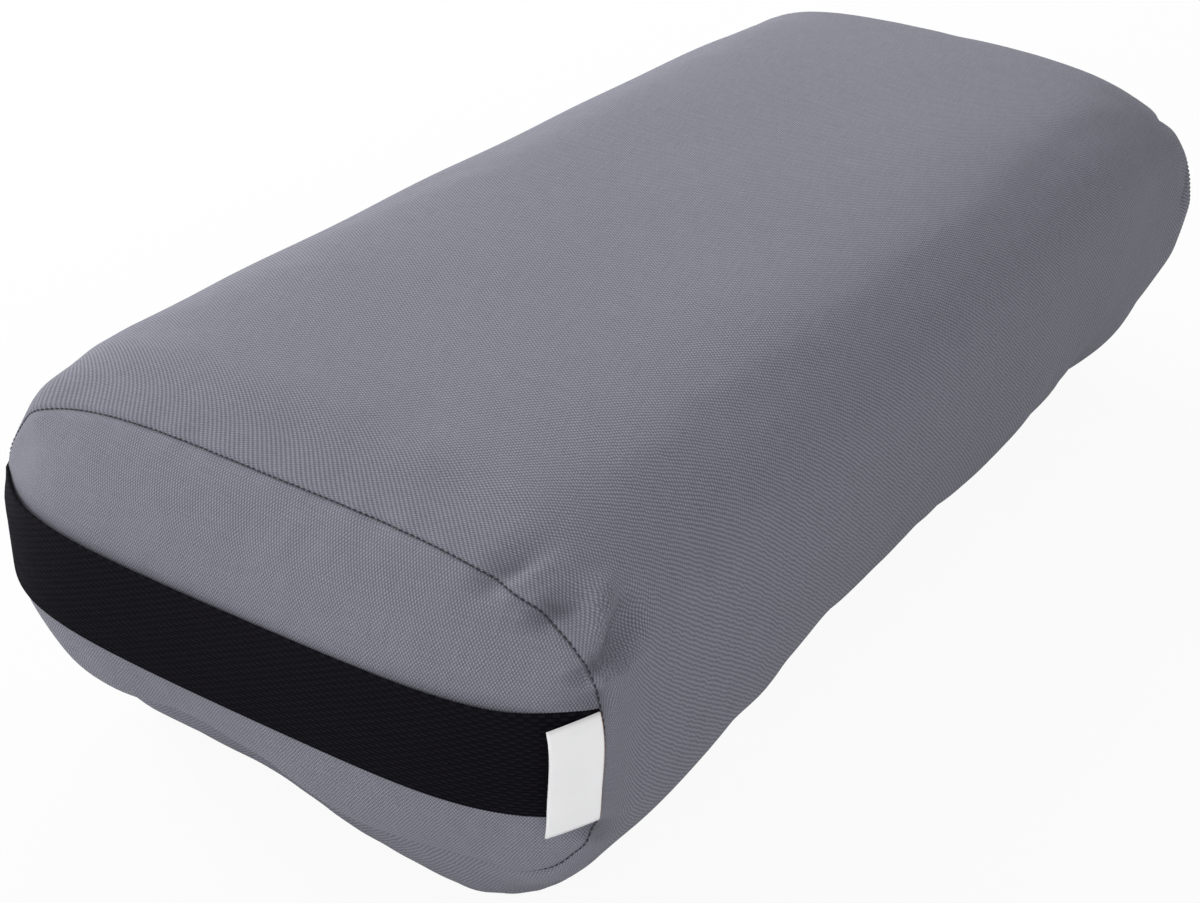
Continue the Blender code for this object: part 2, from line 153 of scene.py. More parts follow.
class Craft:
    """Adds and links the nodes of one material or one Geometry Nodes tree."""

    def __init__(self, tree: bpy.types.NodeTree) -> None:
        """Keeps the tree."""
        self.tree = tree

    def node(self, kind: str, settings: dict | None = None, plugs: dict | None = None) -> bpy.types.Node:
        """Adds a node.

        Args:
            kind: the node's type.
            settings: its own settings by name.
            plugs: what goes into its sockets, by name or number: a Wire, a socket or a constant.

        Returns:
            The new node.
        """
        made = self.tree.nodes.new(kind)
        for name, value in (settings or {}).items():
            setattr(made, name, value)
        for key, value in (plugs or {}).items():
            self.plug(made.inputs[key], value)
        return made

    def plug(self, socket: bpy.types.NodeSocket, value: object) -> None:
        """Links a Wire or a socket to a socket, or sets it to a constant."""
        if isinstance(value, Wire):
            value = value.socket
        if isinstance(value, bpy.types.NodeSocket):
            self.tree.links.new(value, socket)
        else:
            socket.default_value = value

    def math(self, operation: str, *terms: Wire | float) -> Wire:
        """One Math node on wires and numbers."""
        made = self.node("ShaderNodeMath", {"operation": operation}, dict(enumerate(terms)))
        return Wire(self, made.outputs[0])

    def cloth(self) -> tuple[Wire, Wire]:
        """The place along and across the cloth, in metres."""
        place = self.node("ShaderNodeUVMap", {"uv_map": "cloth"})
        parts = self.node("ShaderNodeSeparateXYZ", None, {0: place.outputs[0]})
        return Wire(self, parts.outputs[0]), Wire(self, parts.outputs[1])

    def solid(self) -> tuple[Wire, Wire, Wire]:
        """The place in the object's own space, in metres."""
        place = self.node("ShaderNodeTexCoord").outputs["Object"]
        parts = self.node("ShaderNodeSeparateXYZ", None, {0: place})
        return tuple(Wire(self, parts.outputs[axis]) for axis in range(3))

    def vector(self, *parts: Wire | float) -> bpy.types.NodeSocket:
        """A vector made of up to three values."""
        return self.node("ShaderNodeCombineXYZ", None, dict(enumerate(parts))).outputs[0]

    def noise(self, place: bpy.types.NodeSocket, scale: float = 1.0, detail: float = 2.0) -> Wire:
        """Smooth noise from 0 to 1 at a place."""
        plugs = {"Vector": place, "Scale": scale, "Detail": detail}
        return Wire(self, self.node("ShaderNodeTexNoise", None, plugs).outputs[0])

    def cells(self, place: bpy.types.NodeSocket, scale: float) -> Wire:
        """The distance to the nearest of many scattered points."""
        made = self.node("ShaderNodeTexVoronoi", None, {"Vector": place, "Scale": scale})
        return Wire(self, made.outputs[0])

    def mark(self, name: str) -> Wire:
        """A value stored on the mesh's points."""
        return Wire(self, self.node("ShaderNodeAttribute", {"attribute_name": name}).outputs["Fac"])

    def shade(self, colour: Colour, gain: Wire) -> bpy.types.NodeSocket:
        """A colour made lighter or darker by a gain around 1."""
        made = self.node("ShaderNodeVectorMath", {"operation": "SCALE"}, {0: colour, "Scale": gain})
        return made.outputs[0]

    def blend(self, share: Wire, first: object, second: object) -> bpy.types.NodeSocket:
        """Two colours mixed by a share from 0 to 1."""
        plugs = {0: share, 6: first, 7: second}
        return self.node("ShaderNodeMix", {"data_type": "RGBA"}, plugs).outputs[2]

    def relief(self, height: Wire, depth: float, strength: float = 1.0) -> bpy.types.NodeSocket:
        """A bumped normal from a height of 0 to 1, whose full depth is in metres."""
        plugs = {"Strength": strength, "Distance": depth, "Height": height}
        return self.node("ShaderNodeBump", None, plugs).outputs[0]

    def surface(self, shader: bpy.types.Node, colour: object, roughness: Wire, normal: object) -> None:
        """Links a shader's colour, roughness and normal."""
        for name, value in (("Base Color", colour), ("Roughness", roughness), ("Normal", normal)):
            self.plug(shader.inputs[name], value)


def set_inputs(node: bpy.types.Node, values: dict[str, object]) -> None:
    """Sets a node's sockets to constants."""
    for name, value in values.items():
        node.inputs[name].default_value = value


def linked(name: str, data: bpy.types.ID) -> bpy.types.Object:
    """A new object with this mesh, camera or lamp, in the scene."""
    made = bpy.data.objects.new(name, data)
    bpy.context.scene.collection.objects.link(made)
    return made


@contextmanager
def reworked(mesh: bpy.types.Mesh) -> Iterator[bmesh.types.BMesh]:
    """A mesh open for edits, which is written back at the end."""
    work = bmesh.new()
    work.from_mesh(mesh)
    work.verts.ensure_lookup_table()
    yield work
    work.to_mesh(mesh)
    work.free()


def close_rings(item: bpy.types.Object, starts: Sequence[int], columns: int) -> None:
    """Closes the rings that start at these points, and turns the faces out."""
    with reworked(item.data) as work:
        for start in starts:
            work.faces.new([work.verts[start + column] for column in range(columns)])
        bmesh.ops.recalc_face_normals(work, faces=work.faces[:])


def smooth(mesh: bpy.types.Mesh, sharpest: float) -> None:
    """Smooth shading, but for edges sharper than an angle in degrees."""
    mesh.shade_smooth()
    mesh.set_sharp_from_angle(angle=math.radians(sharpest))


@dataclass(frozen=True)
class Grain:
    """How a main pattern and a second one show in a finish's tone, height and roughness."""

    tone: float = 1.0
    main_tone: float = 0.0
    second_tone: float = 0.0
    depth: float = 0.1 * MM
    second_height: float = 0.0
    strength: float = 1.0
    main_roughness: float = 0.0
    second_roughness: float = 0.0


@dataclass(frozen=True)
class Finish:
    """A material, by its name, the record's slot, its mean colour and its gloss."""

    name: str
    slot: str
    colour: Colour
    roughness: float = 0.9
    sheen: float = 0.0
    gloss: float = 0.5
    sheen_roughness: float = 0.5
    grain: Grain = Grain()

    def material(self) -> bpy.types.Material:
        """The finish as a material, made once.

        Returns:
            The material, with its detail.
        """
        known = bpy.data.materials.get(self.name)
        if known:
            return known
        made = bpy.data.materials.new(self.name)
        made.use_nodes = True
        made.diffuse_color = (*self.colour, 1.0)
        craft = Craft(made.node_tree)
        shader = made.node_tree.nodes["Principled BSDF"]
        set_inputs(shader, {
            "Base Color": made.diffuse_color,
            "Roughness": self.roughness,
            "Specular IOR Level": self.gloss,
            "Sheen Weight": self.sheen,
            "Sheen Roughness": self.sheen_roughness,
        })
        self.dress(craft, shader)
        return made

    def dress(self, craft: Craft, shader: bpy.types.Node) -> None:
        """Adds the detail of this finish to its shader."""

    def show(
        self, craft: Craft, shader: bpy.types.Node, main: Wire, second: Wire, tint: Wire | float = 0.0
    ) -> bpy.types.NodeSocket:
        """Feeds a shader with two patterns, as much as the grain says.

        Args:
            craft: adds the nodes.
            shader: the shader that they feed.
            main: the main pattern.
            second: the second one.
            tint: what is added to the tone.

        Returns:
            The colour.
        """
        grain = self.grain
        gain = grain.tone + main * grain.main_tone + second * grain.second_tone + tint
        roughness = self.roughness + main * grain.main_roughness + second * grain.second_roughness
        bump = craft.relief(main + second * grain.second_height, grain.depth, grain.strength)
        colour = craft.shade(self.colour, gain)
        craft.surface(shader, colour, roughness, bump)
        return colour

    def put_on(self, item: bpy.types.Object) -> bpy.types.Object:
        """Gives an object this material alone."""
        item.data.materials.clear()
        item.data.materials.append(self.material())
        return item


@dataclass(frozen=True)
class PlainWeave(Finish):
    """A plain-weave cloth, with slubs along its threads, a worn lighter band beside its seams, and painted
    shade in its seam grooves, in its creases and between its threads.
    """

    warp_pitch: float = 1.03 * MM
    weft_pitch: float = 1.09 * MM
    contrast: float = 0.36
    float_contrast: float = 0.62
    mean_height: float = 0.62
    crossing_sharpness: float = 5.0
    thread_roundness: float = 0.6
    waver: float = 1.1
    waver_scale: float = 160.0
    slub_contrast: float = 0.55
    slub_stretch: float = 0.06
    slub_relief: float = 0.6
    tone_scale: float = 14.0
    tone_contrast: float = 0.05
    wear: float = 0.05
    wear_reach: float = 4 * MM
    groove_shade: float = 0.45
    groove_half: float = 0.4 * MM
    groove_reach: float = 0.5 * MM
    fold_shade: float = 0.34
    fold_gain: float = 200.0
    relief_depth: float = 0.13 * MM
    relief_strength: float = 0.8

    def threads(self, craft: Craft, u: Wire, v: Wire) -> tuple[Wire, Wire]:
        """The height of the threads, and 1 where the warp lies on top."""
        wander = craft.noise(craft.vector(u, v, 0.0), self.waver_scale) - 0.5
        waver = wander * (self.waver * self.warp_pitch)
        across = ((u + waver) * (math.pi / self.warp_pitch)).sine()
        along = ((v - waver) * (math.pi / self.weft_pitch)).sine()
        warp_up = (across * along * self.crossing_sharpness + 0.5).clamped()
        warp, weft = (
            one.size() ** self.thread_roundness * (other.size() * 0.5 + 0.5)
            for one, other in ((across, along), (along, across))
        )
        return weft + (warp - weft) * warp_up, warp_up

    def slubs(self, craft: Craft, u: Wire, v: Wire, warp_up: Wire) -> Wire:
        """Thick and thin places along the threads on top, around nought."""
        warp_fine, weft_fine = 1.0 / self.warp_pitch, 1.0 / self.weft_pitch
        warp = craft.noise(craft.vector(u * warp_fine, v * (self.slub_stretch * warp_fine), 3.0))
        weft = craft.noise(craft.vector(u * (self.slub_stretch * weft_fine), v * weft_fine, 9.0))
        return weft + (warp - weft) * warp_up - 0.5

    def dress(self, craft: Craft, shader: bpy.types.Node) -> None:
        """Adds threads over and under, slubs, broad tone, wear beside the seams, and painted shade between
        the threads, in the seam grooves and in the folds.

        Args:
            craft: adds the nodes.
            shader: the shader that they feed.
        """
        u, v = craft.cloth()
        height, warp_up = self.threads(craft, u, v)
        slub = self.slubs(craft, u, v, warp_up)
        tone = craft.noise(craft.vector(u, v, 0.0), self.tone_scale, 3.0) - 0.5
        seam, fold = craft.mark("seam"), craft.mark("fold")
        # Painted shade: the cloth is drawn darker where its threads dip, in the hollows between them, and
        # lighter on their crowns.
        gain = 1.0 + (height - self.mean_height) * self.contrast + slub * self.slub_contrast
        gain = gain + (0.5 - warp_up) * self.float_contrast
        gain = gain + tone * self.tone_contrast + seam.fading(self.wear_reach) * self.wear
        # Painted shade: the seam's groove is drawn darker, as the turned-in cloth there lies in shadow.
        gain = gain * (1.0 - (seam + self.groove_half).fading(self.groove_reach) * self.groove_shade)
        # Painted shade: the valleys of the creases are drawn darker, by their depth.
        gain = gain * (1.0 - (fold * self.fold_gain).clamped() * self.fold_shade)
        bump = craft.relief(height + slub * self.slub_relief, self.relief_depth, self.relief_strength)
        craft.surface(shader, craft.shade(self.colour, gain), self.roughness + tone * 0.1, bump)


@dataclass(frozen=True)
class BrickWebbing(Finish):
    """Heavy webbing whose long floats lie like bricks."""

    column: float = 1.39 * MM
    float_length: float = 2.7 * MM
    brick_sharpness: float = 3.0
    brick_height: float = 0.6
    fibre_scales: tuple[float, float] = (900.0, 4500.0)
    tone_scale: float = 30.0
    tone_contrast: float = 0.3
    grain: Grain = Grain(0.2, 1.3, 0.5, 0.35 * MM, second_height=0.3, second_roughness=0.12)

    def dress(self, craft: Craft, shader: bpy.types.Node) -> None:
        """Adds columns across the band, with floats that step by half a brick from column to column.

        Args:
            craft: adds the nodes.
            shader: the shader that they feed.
        """
        u, v = craft.cloth()
        across = (v * (math.pi / self.column)).sine()
        along = (u * (math.pi / self.float_length)).sine()
        brick = (across * along * self.brick_sharpness + 0.5).clamped()
        height = across.size() ** 0.5 * (brick * self.brick_height + (1.0 - self.brick_height))
        along_scale, across_scale = self.fibre_scales
        fibre = craft.noise(craft.vector(u * along_scale, v * across_scale, 0.0)) - 0.5
        tone = craft.noise(craft.vector(u, v, 5.0), self.tone_scale, 3.0) - 0.5
        self.show(craft, shader, height, fibre, tone * self.tone_contrast)


@dataclass(frozen=True)
class Satin(Finish):
    """Smooth woven satin, with a painted brownish shade line along its sewn edge, where it goes into the
    seam.
    """

    float_scales: tuple[float, float] = (500.0, 9000.0)
    cloud_scale: float = 120.0
    edge_shade: Colour = (0.30, 0.17, 0.12)
    edge_shade_width: float = 0.5 * MM
    edge_shade_sharpness: float = 9000.0
    edge_shade_scale: float = 1600.0
    grain: Grain = Grain(0.97, 0.05, 0.05, 0.05 * MM, second_height=1.0, strength=0.6, main_roughness=0.1)

    def dress(self, craft: Craft, shader: bpy.types.Node) -> None:
        """Fine floats along the ribbon, a soft unevenness and the painted shade line at the sewn edge."""
        u, v = craft.cloth()
        along_scale, across_scale = self.float_scales
        floats = craft.noise(craft.vector(u * along_scale, v * across_scale, 0.0))
        cloudy = craft.noise(craft.vector(u, v, 1.0), self.cloud_scale) - 0.5
        # Painted shade: a dark brownish line along the sewn edge, where the label goes into the seam, with a
        # wandering width.
        ragged = craft.noise(craft.vector(v * self.edge_shade_scale, 0.0, 4.0)) * self.edge_shade_width
        edge = ((ragged + 0.25 * self.edge_shade_width - u) * self.edge_shade_sharpness).clamped()
        base = self.show(craft, shader, floats, cloudy)
        craft.plug(shader.inputs["Base Color"], craft.blend(edge, base, (*self.edge_shade, 1.0)))


@dataclass(frozen=True)
class Fleece(Finish):
    """Loose needled batting: a fluffy mass with short fibres."""

    tuft_scale: float = 90.0
    fibre_scale: float = 900.0
    fibre_stretch: float = 2.5
    grain: Grain = Grain(0.86, 0.2, 0.1, 2.5 * MM, second_height=0.4, strength=0.7, second_roughness=0.08)

    def dress(self, craft: Craft, shader: bpy.types.Node) -> None:
        """Soft tufts with fine fibres over them."""
        x, y, z = craft.solid()
        tufts = craft.noise(craft.vector(x, y, z), self.tuft_scale, 4.0)
        stretched = craft.vector(x * self.fibre_stretch, y, z * self.fibre_stretch)
        self.show(craft, shader, tufts, craft.noise(stretched, self.fibre_scale, 3.0))


@dataclass(frozen=True)
class OpenFoam(Finish):
    """Open-cell foam, with saw-cut faces."""

    cell_scale: float = 650.0
    saw_scale: float = 1400.0
    saw_waver: float = 6.0
    waver_scale: float = 40.0
    grain: Grain = Grain(0.78, 0.35, 0.02, 0.5 * MM, second_height=0.1, strength=0.7, main_roughness=0.05)

    def dress(self, craft: Craft, shader: bpy.types.Node) -> None:
        """Small open cells and faint saw marks."""
        x, y, z = craft.solid()
        cells = craft.cells(craft.vector(x, y, z), self.cell_scale)
        waver = craft.noise(craft.vector(x, y, z), self.waver_scale) * self.saw_waver
        self.show(craft, shader, cells, (y * self.saw_scale + waver).sine())


@dataclass(frozen=True)
class Herringbone(Finish):
    """Woven zipper tape, whose fine twill turns back at its middle."""

    rib: float = 0.55 * MM
    fibre_scale: float = 3500.0
    grain: Grain = Grain(0.75, 0.38, 0.2, 0.12 * MM, second_height=0.3, second_roughness=0.1)

    def dress(self, craft: Craft, shader: bpy.types.Node) -> None:
        """Slanting ribs that mirror across the tape."""
        u, v = craft.cloth()
        ribs = ((u + v.size()) * (math.pi / self.rib)).sine().size()
        self.show(craft, shader, ribs, craft.noise(craft.vector(u, v, 0.0), self.fibre_scale) - 0.5)


@dataclass(frozen=True)
class Nylon(Finish):
    """Drawn nylon of the zipper's coil."""

    scuff_scale: float = 1800.0
    tone_scale: float = 60.0
    grain: Grain = Grain(0.92, 0.14, 0.12, 0.03 * MM, strength=0.5, main_roughness=0.2)

    def dress(self, craft: Craft, shader: bpy.types.Node) -> None:
        """Faint tone along the coil and fine scuffs."""
        place = craft.vector(*craft.solid())
        scuffs = craft.noise(place, self.scuff_scale, 3.0)
        self.show(craft, shader, scuffs, craft.noise(place, self.tone_scale) - 0.5)


@dataclass(frozen=True)
class Lacquer(Finish):
    """Lacquered zinc, with bare metal where handling has worn small patches."""

    bare: Colour = (0.55, 0.54, 0.52)
    peel_scale: float = 2500.0
    patch_scale: float = 700.0
    worn_from: float = 0.66
    worn_sharpness: float = 14.0
    grain: Grain = Grain(0.93, 0.14, 0.0, 0.02 * MM, 0.0, 0.5, main_roughness=0.12, second_roughness=-0.1)

    def dress(self, craft: Craft, shader: bpy.types.Node) -> None:
        """Orange peel in the lacquer, and worn spots that turn metallic."""
        place = craft.vector(*craft.solid())
        peel = craft.noise(place, self.peel_scale, 1.0)
        patches = craft.noise(place, self.patch_scale, 4.0)
        worn = ((patches - self.worn_from) * self.worn_sharpness).clamped()
        base = self.show(craft, shader, peel, worn)
        craft.plug(shader.inputs["Base Color"], craft.blend(worn, base, (*self.bare, 1.0)))
        craft.plug(shader.inputs["Metallic"], worn)


@dataclass(frozen=True)
class Thread(Finish):
    """Twisted sewing thread."""

    twist: float = 0.5 * MM
    fuzz_scale: float = 4000.0
    grain: Grain = Grain(0.8, 0.3, 0.3, 0.08 * MM, second_roughness=0.1)

    def dress(self, craft: Craft, shader: bpy.types.Node) -> None:
        """Two plies that wind round each other."""
        x, y, z = craft.solid()
        plies = ((x + y + z) * (2 * math.pi / self.twist)).sine() * 0.5 + 0.5
        self.show(craft, shader, plies, craft.noise(craft.vector(x, y, z), self.fuzz_scale) - 0.5)


CANVAS = PlainWeave("grey_canvas", "canvas", (0.220, 0.220, 0.264), 0.9, 0.06, 0.15)
MUSLIN = PlainWeave(
    "muslin", "muslin", (0.74, 0.70, 0.61), 0.9, 0.05, 0.15,
    warp_pitch=0.4 * MM, weft_pitch=0.45 * MM, contrast=0.4, float_contrast=0.2,
)
WEBBING = BrickWebbing("black_webbing", "webbing", (0.0066, 0.0058, 0.0090), 0.85, 0.0, 0.05)
SATIN = Satin("white_satin", "label_satin", (0.97, 0.97, 0.98), 0.4)
FLEECE = Fleece("batting", "batting", (0.85, 0.84, 0.80), 0.92, 0.0, 0.1)
FOAM = OpenFoam("cushion_foam", "foam", (0.80, 0.74, 0.56), 0.92, 0.0, 0.2)
TAPE = Herringbone("zipper_tape", "zipper_tape", (0.20, 0.20, 0.225), 0.85, 0.0, 0.2)
NYLON = Nylon("nylon_coil", "zipper_coil", (0.15, 0.15, 0.17), 0.34)
LACQUER = Lacquer("grey_lacquer", "zipper_metal", (0.30, 0.30, 0.31), 0.36)
SEAM_THREAD = Thread("dark_thread", "canvas", (0.055, 0.054, 0.066), 0.8, 0.0, 0.2)
TOP_THREAD = Thread("grey_thread", "canvas", (0.16, 0.158, 0.185), 0.8, 0.0, 0.2)


def smooth_step(share: Array | float) -> Array | float:
    """A smooth step from 0 to 1."""
    share = np.clip(share, 0.0, 1.0)
    return share * share * (3 - 2 * share)


def between(distance: Array, zone: tuple[float, float]) -> Array:
    """A smooth step from 0 to 1 between two distances."""
    return smooth_step((distance - zone[0]) / (zone[1] - zone[0]))


def bell(distance: Array | float, reach: float) -> Array | float:
    """1 at nought, falling away on both sides over a reach."""
    return np.exp(-((distance / reach) ** 2))


def unit(vectors: Array) -> Array:
    """Vectors made one long."""
    return vectors / np.linalg.norm(vectors, axis=-1, keepdims=True).clip(1e-12)


def lengths(path: Array) -> Array:
    """The length along a path up to each of its points."""
    return np.append(0.0, np.cumsum(np.linalg.norm(np.diff(path, axis=0), axis=1)))


def sampled(where: Array, marks: Array, path: Array) -> Array:
    """Places on a flat path, whose points stand at these marks."""
    return np.column_stack([np.interp(where, marks, axis) for axis in path.T])


@dataclass
class Patch:
    """A piece of cloth as a net of points, with each point's place along the cloth and from its seam."""

    points: Array
    faces: Array
    cloth: Array
    seam: Array
    fold: Array = field(default_factory=lambda: np.zeros(0))

    @classmethod
    def grid(cls, points: Array, cloth: Array, seam: Array | float = 0.0, closed: bool = False) -> "Patch":
        """A patch from rows and columns of points.

        Args:
            points: the points, by row and column.
            cloth: their places along the cloth.
            seam: their distances from the seam.
            closed: whether the last column joins the first.

        Returns:
            The patch.
        """
        rows, columns = points.shape[:2]
        seams = np.broadcast_to(seam, (rows, columns)).astype(float).reshape(-1)
        return cls(points.reshape(-1, 3), net(rows, columns, closed), cloth.reshape(-1, 2), seams)

    def normals(self) -> Array:
        """The outward direction at each point."""
        corners = self.points[self.faces]
        face = np.cross(corners[:, 2] - corners[:, 0], corners[:, 3] - corners[:, 1])
        total = np.zeros_like(self.points)
        for corner in range(self.faces.shape[1]):
            np.add.at(total, self.faces[:, corner], face)
        return unit(total)

    def facing_out(self) -> "Patch":
        """The same patch with its faces turned to point away from the bolster's middle."""
        away = self.points - np.array((0.0, 0.0, self.points[:, 2].mean()))
        if (self.normals() * away).sum() < 0:
            self.faces = self.faces[:, ::-1].copy()
        return self

    def item(self, name: str, finish: Finish, thickness: float = 0.0) -> bpy.types.Object:
        """The patch as an object.

        Args:
            name: the object's name.
            finish: its material.
            thickness: the cloth's thickness inwards, or nought for a bare surface.

        Returns:
            The object, linked to the scene.
        """
        mesh = bpy.data.meshes.new(name)
        mesh.from_pydata(self.points.tolist(), [], self.faces.tolist())
        layer = mesh.uv_layers.new(name="cloth")
        index = np.zeros(len(mesh.loops), np.int32)
        mesh.loops.foreach_get("vertex_index", index)
        layer.data.foreach_set("uv", self.cloth[index].astype(np.float32).ravel())
        for mark, values in (("seam", self.seam), ("fold", self.fold)):
            if len(values):
                stored = mesh.attributes.new(mark, "FLOAT", "POINT")
                stored.data.foreach_set("value", values.astype(np.float32))
        mesh.shade_smooth()
        made = linked(name, mesh)
        if thickness:
            wall = made.modifiers.new("cloth", "SOLIDIFY")
            wall.thickness = thickness
            wall.offset = -1.0
        return finish.put_on(made)


def net(rows: int, columns: int, closed: bool = False) -> Array:
    """The faces of a net of points stored row by row.

    Args:
        rows: how many rows of points.
        columns: how many points in a row.
        closed: whether the last column joins the first.

    Returns:
        The faces, four point numbers each.
    """
    row, column = np.meshgrid(np.arange(rows - 1), np.arange(columns - (not closed)), indexing="ij")
    after = (column + 1) % columns
    start, ahead = row * columns, (row + 1) * columns
    faces = np.stack([start + column, start + after, ahead + after, ahead + column], axis=-1)
    return faces.reshape(-1, 4)


@dataclass(frozen=True)
class StuffedForm:
    """The outer shape of the stuffed cover: rings round it between its end seams, and domed ends."""

    half_width: float
    height: float
    seam_y: float
    swell: float
    top_draw: float = 16 * MM
    bottom_draw: float = 32 * MM
    draw_reach: float = 40 * MM
    belly_drop: float = 20 * MM
    floor_softening: float = 9 * MM
    top_powers: tuple[float, float] = (3.7, 4.3)
    bottom_powers: tuple[float, float] = (2.7, 2.05)
    squaring_share: float = 3.0
    swell_power: float = 4.6
    quarter_steps: int = 181

    @classmethod
    def from_frame(cls) -> "StuffedForm":
        """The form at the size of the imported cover."""
        low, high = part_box("cover_body_panel")
        near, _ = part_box("cover_near_end_panel")
        seam_y = round(high.y, 2)
        return cls(-low.x, round(high.z, 3), seam_y, -near.y - seam_y)

    @property
    def middle(self) -> float:
        """The height of the form's middle."""
        return self.height / 2

    def outline(self, distance: float, turns: Array) -> Array:
        """The outline at a distance from the seam.

        Args:
            distance: metres from the end seam along the bolster.
            turns: angles round the outline, 0 at +X and pi / 2 on top.

        Returns:
            The points as x and z.
        """
        near = max(0.0, 1.0 - distance / self.draw_reach) ** 2
        square = smooth_step(distance / (self.draw_reach * self.squaring_share))
        top_power, bottom_power = (
            first + (last - first) * square for first, last in (self.top_powers, self.bottom_powers)
        )
        half_top = self.middle - self.top_draw * near
        half_bottom = self.middle + self.belly_drop - (self.bottom_draw + self.belly_drop) * near
        cosine, sine = np.cos(turns), np.sin(turns)
        power = np.where(sine >= 0, top_power, bottom_power)
        half_height = np.where(sine >= 0, half_top, half_bottom)
        x = self.half_width * np.sign(cosine) * np.abs(cosine) ** (2 / power)
        z = self.middle + half_height * np.sign(sine) * np.abs(sine) ** (2 / power)
        soft = (z + self.floor_softening) ** 2 / (4 * self.floor_softening)
        z = np.where(z > self.floor_softening, z, np.where(z < -self.floor_softening, 0.0, soft))
        return np.column_stack([x, z])

    def ring(self, distance: float, place: Callable[[float], Array]) -> tuple[Array, Array]:
        """Points round the outline by their length along it, from mid-height on the -X side over the top.

        Args:
            distance: metres from the end seam.
            place: gives the lengths of the points, from the whole length of the outline.

        Returns:
            The points as x and z, and their lengths from the outline's middle.
        """
        steps = np.linspace(0.0, 1.0, self.quarter_steps)
        quarter = 0.5 - 0.5 * np.cos(np.pi * steps)
        turns = np.concatenate([np.pi - (part + quarter[:-1]) * np.pi / 2 for part in range(4)])
        outline = self.outline(distance, np.append(turns, -np.pi))
        along = lengths(outline)
        where = place(along[-1])
        return sampled(where, along, outline), where - along[-1] / 2


@dataclass(frozen=True)
class Crease:
    """A fold or ridge in the stuffed cloth, along a line of places on it; all in millimetres."""

    path: tuple[Point, ...]
    depth: float
    width: float
    taper: Taper = Taper.FADES_OUT
    shoulder: float = 0.6

    def push(self, points: Array, spread: float = 1.0) -> Array:
        """How far each point goes inwards.

        Args:
            points: the points.
            spread: how many times its width the fold is spread out, and loses its shoulders.

        Returns:
            The distances, less than nought for outwards.
        """
        line = np.array(self.path) * MM
        nearest = np.full(len(points), np.inf)
        share = np.zeros(len(points))
        for number, (start, end) in enumerate(zip(line, line[1:])):
            reach = end - start
            place = np.clip((points - start) @ reach / (reach @ reach), 0.0, 1.0)
            gap = np.linalg.norm(points - start - place[:, None] * reach, axis=1)
            closer = gap < nearest
            nearest = np.where(closer, gap, nearest)
            share = np.where(closer, (number + place) / (len(line) - 1), share)
        fades_out = self.taper is Taper.FADES_OUT
        strength = 1 - smooth_step(share) if fades_out else np.sin(np.pi * share)
        square = (nearest / (self.width * MM * spread)) ** 2
        shoulder = self.shoulder if spread == 1.0 else 0.0
        return self.depth * MM * strength * (1 - shoulder * square) * np.exp(-square)


@dataclass(frozen=True)
class Dent:
    """A round hollow or swelling, at a place on the cloth; all in millimetres."""

    place: Point
    depth: float
    reach: float

    def push(self, points: Array) -> Array:
        """How far each point goes inwards."""
        gap = np.linalg.norm(points - np.array(self.place) * MM, axis=1)
        return self.depth * MM * bell(gap, self.reach * MM)


CREASES: tuple[Crease, ...] = (
    # The sharp ridge that stands beside the near right corner, and the hollow to its right.
    Crease(
        ((124, -293, 166), (129, -300, 161), (133, -307, 155), (137, -313, 147)),
        -6.4, 6.0, Taper.BOTH_WAYS, 0,
    ),
    Crease(
        ((137, -284, 157), (138, -294, 153), (139, -303, 148), (140, -312, 144)),
        8.0, 7.6, Taper.BOTH_WAYS, 0.2,
    ),
    # The deep crease that runs up from the corner of the seam, the fold below it, and a fainter crease.
    Crease(
        ((136, -322, 140), (138, -315, 142), (140, -308, 143), (141, -300, 145), (142, -278, 147)),
        9.0, 5.0,
    ),
    Crease(((140, -319, 138), (143, -307, 139), (144, -296, 140), (145, -276, 141)), -4.6, 5.2, shoulder=0.0),
    Crease(((141, -321, 133), (142, -314, 135), (143, -306, 135), (144, -290, 135)), 4.4, 4.4),
    # Gathers along the top of the seam, near the same corner.
    Crease(((96, -322, 165), (101, -313, 168), (105, -304, 172), (110, -290, 174)), 4.6, 6.6),
    Crease(((105, -321, 163), (109, -313, 167), (113, -303, 170), (119, -291, 171)), -2.4, 5.5, shoulder=0.0),
    Crease(((117, -321, 158), (121, -312, 161), (124, -304, 163), (126, -292, 165)), 6.6, 6.2),
    # Below the label, where the seam turns under.
    Crease(((142, -321, 75), (144, -312, 70), (144, -302, 64), (143, -288, 58)), 5.6, 5.6),
    # In the near end, above the strap's right end.
    Crease(((143, -320, 131), (139, -323, 132), (134, -327, 132), (124, -334, 131)), 6.5, 6.0),
    # The far right corner.
    Crease(((124, 316, 159), (131, 305, 158), (136, 294, 154), (140, 280, 150)), 5.0, 6.5),
    Crease(((147, 319, 140), (147, 314, 124), (147, 306, 106)), 4.4, 6.5, Taper.BOTH_WAYS),
)

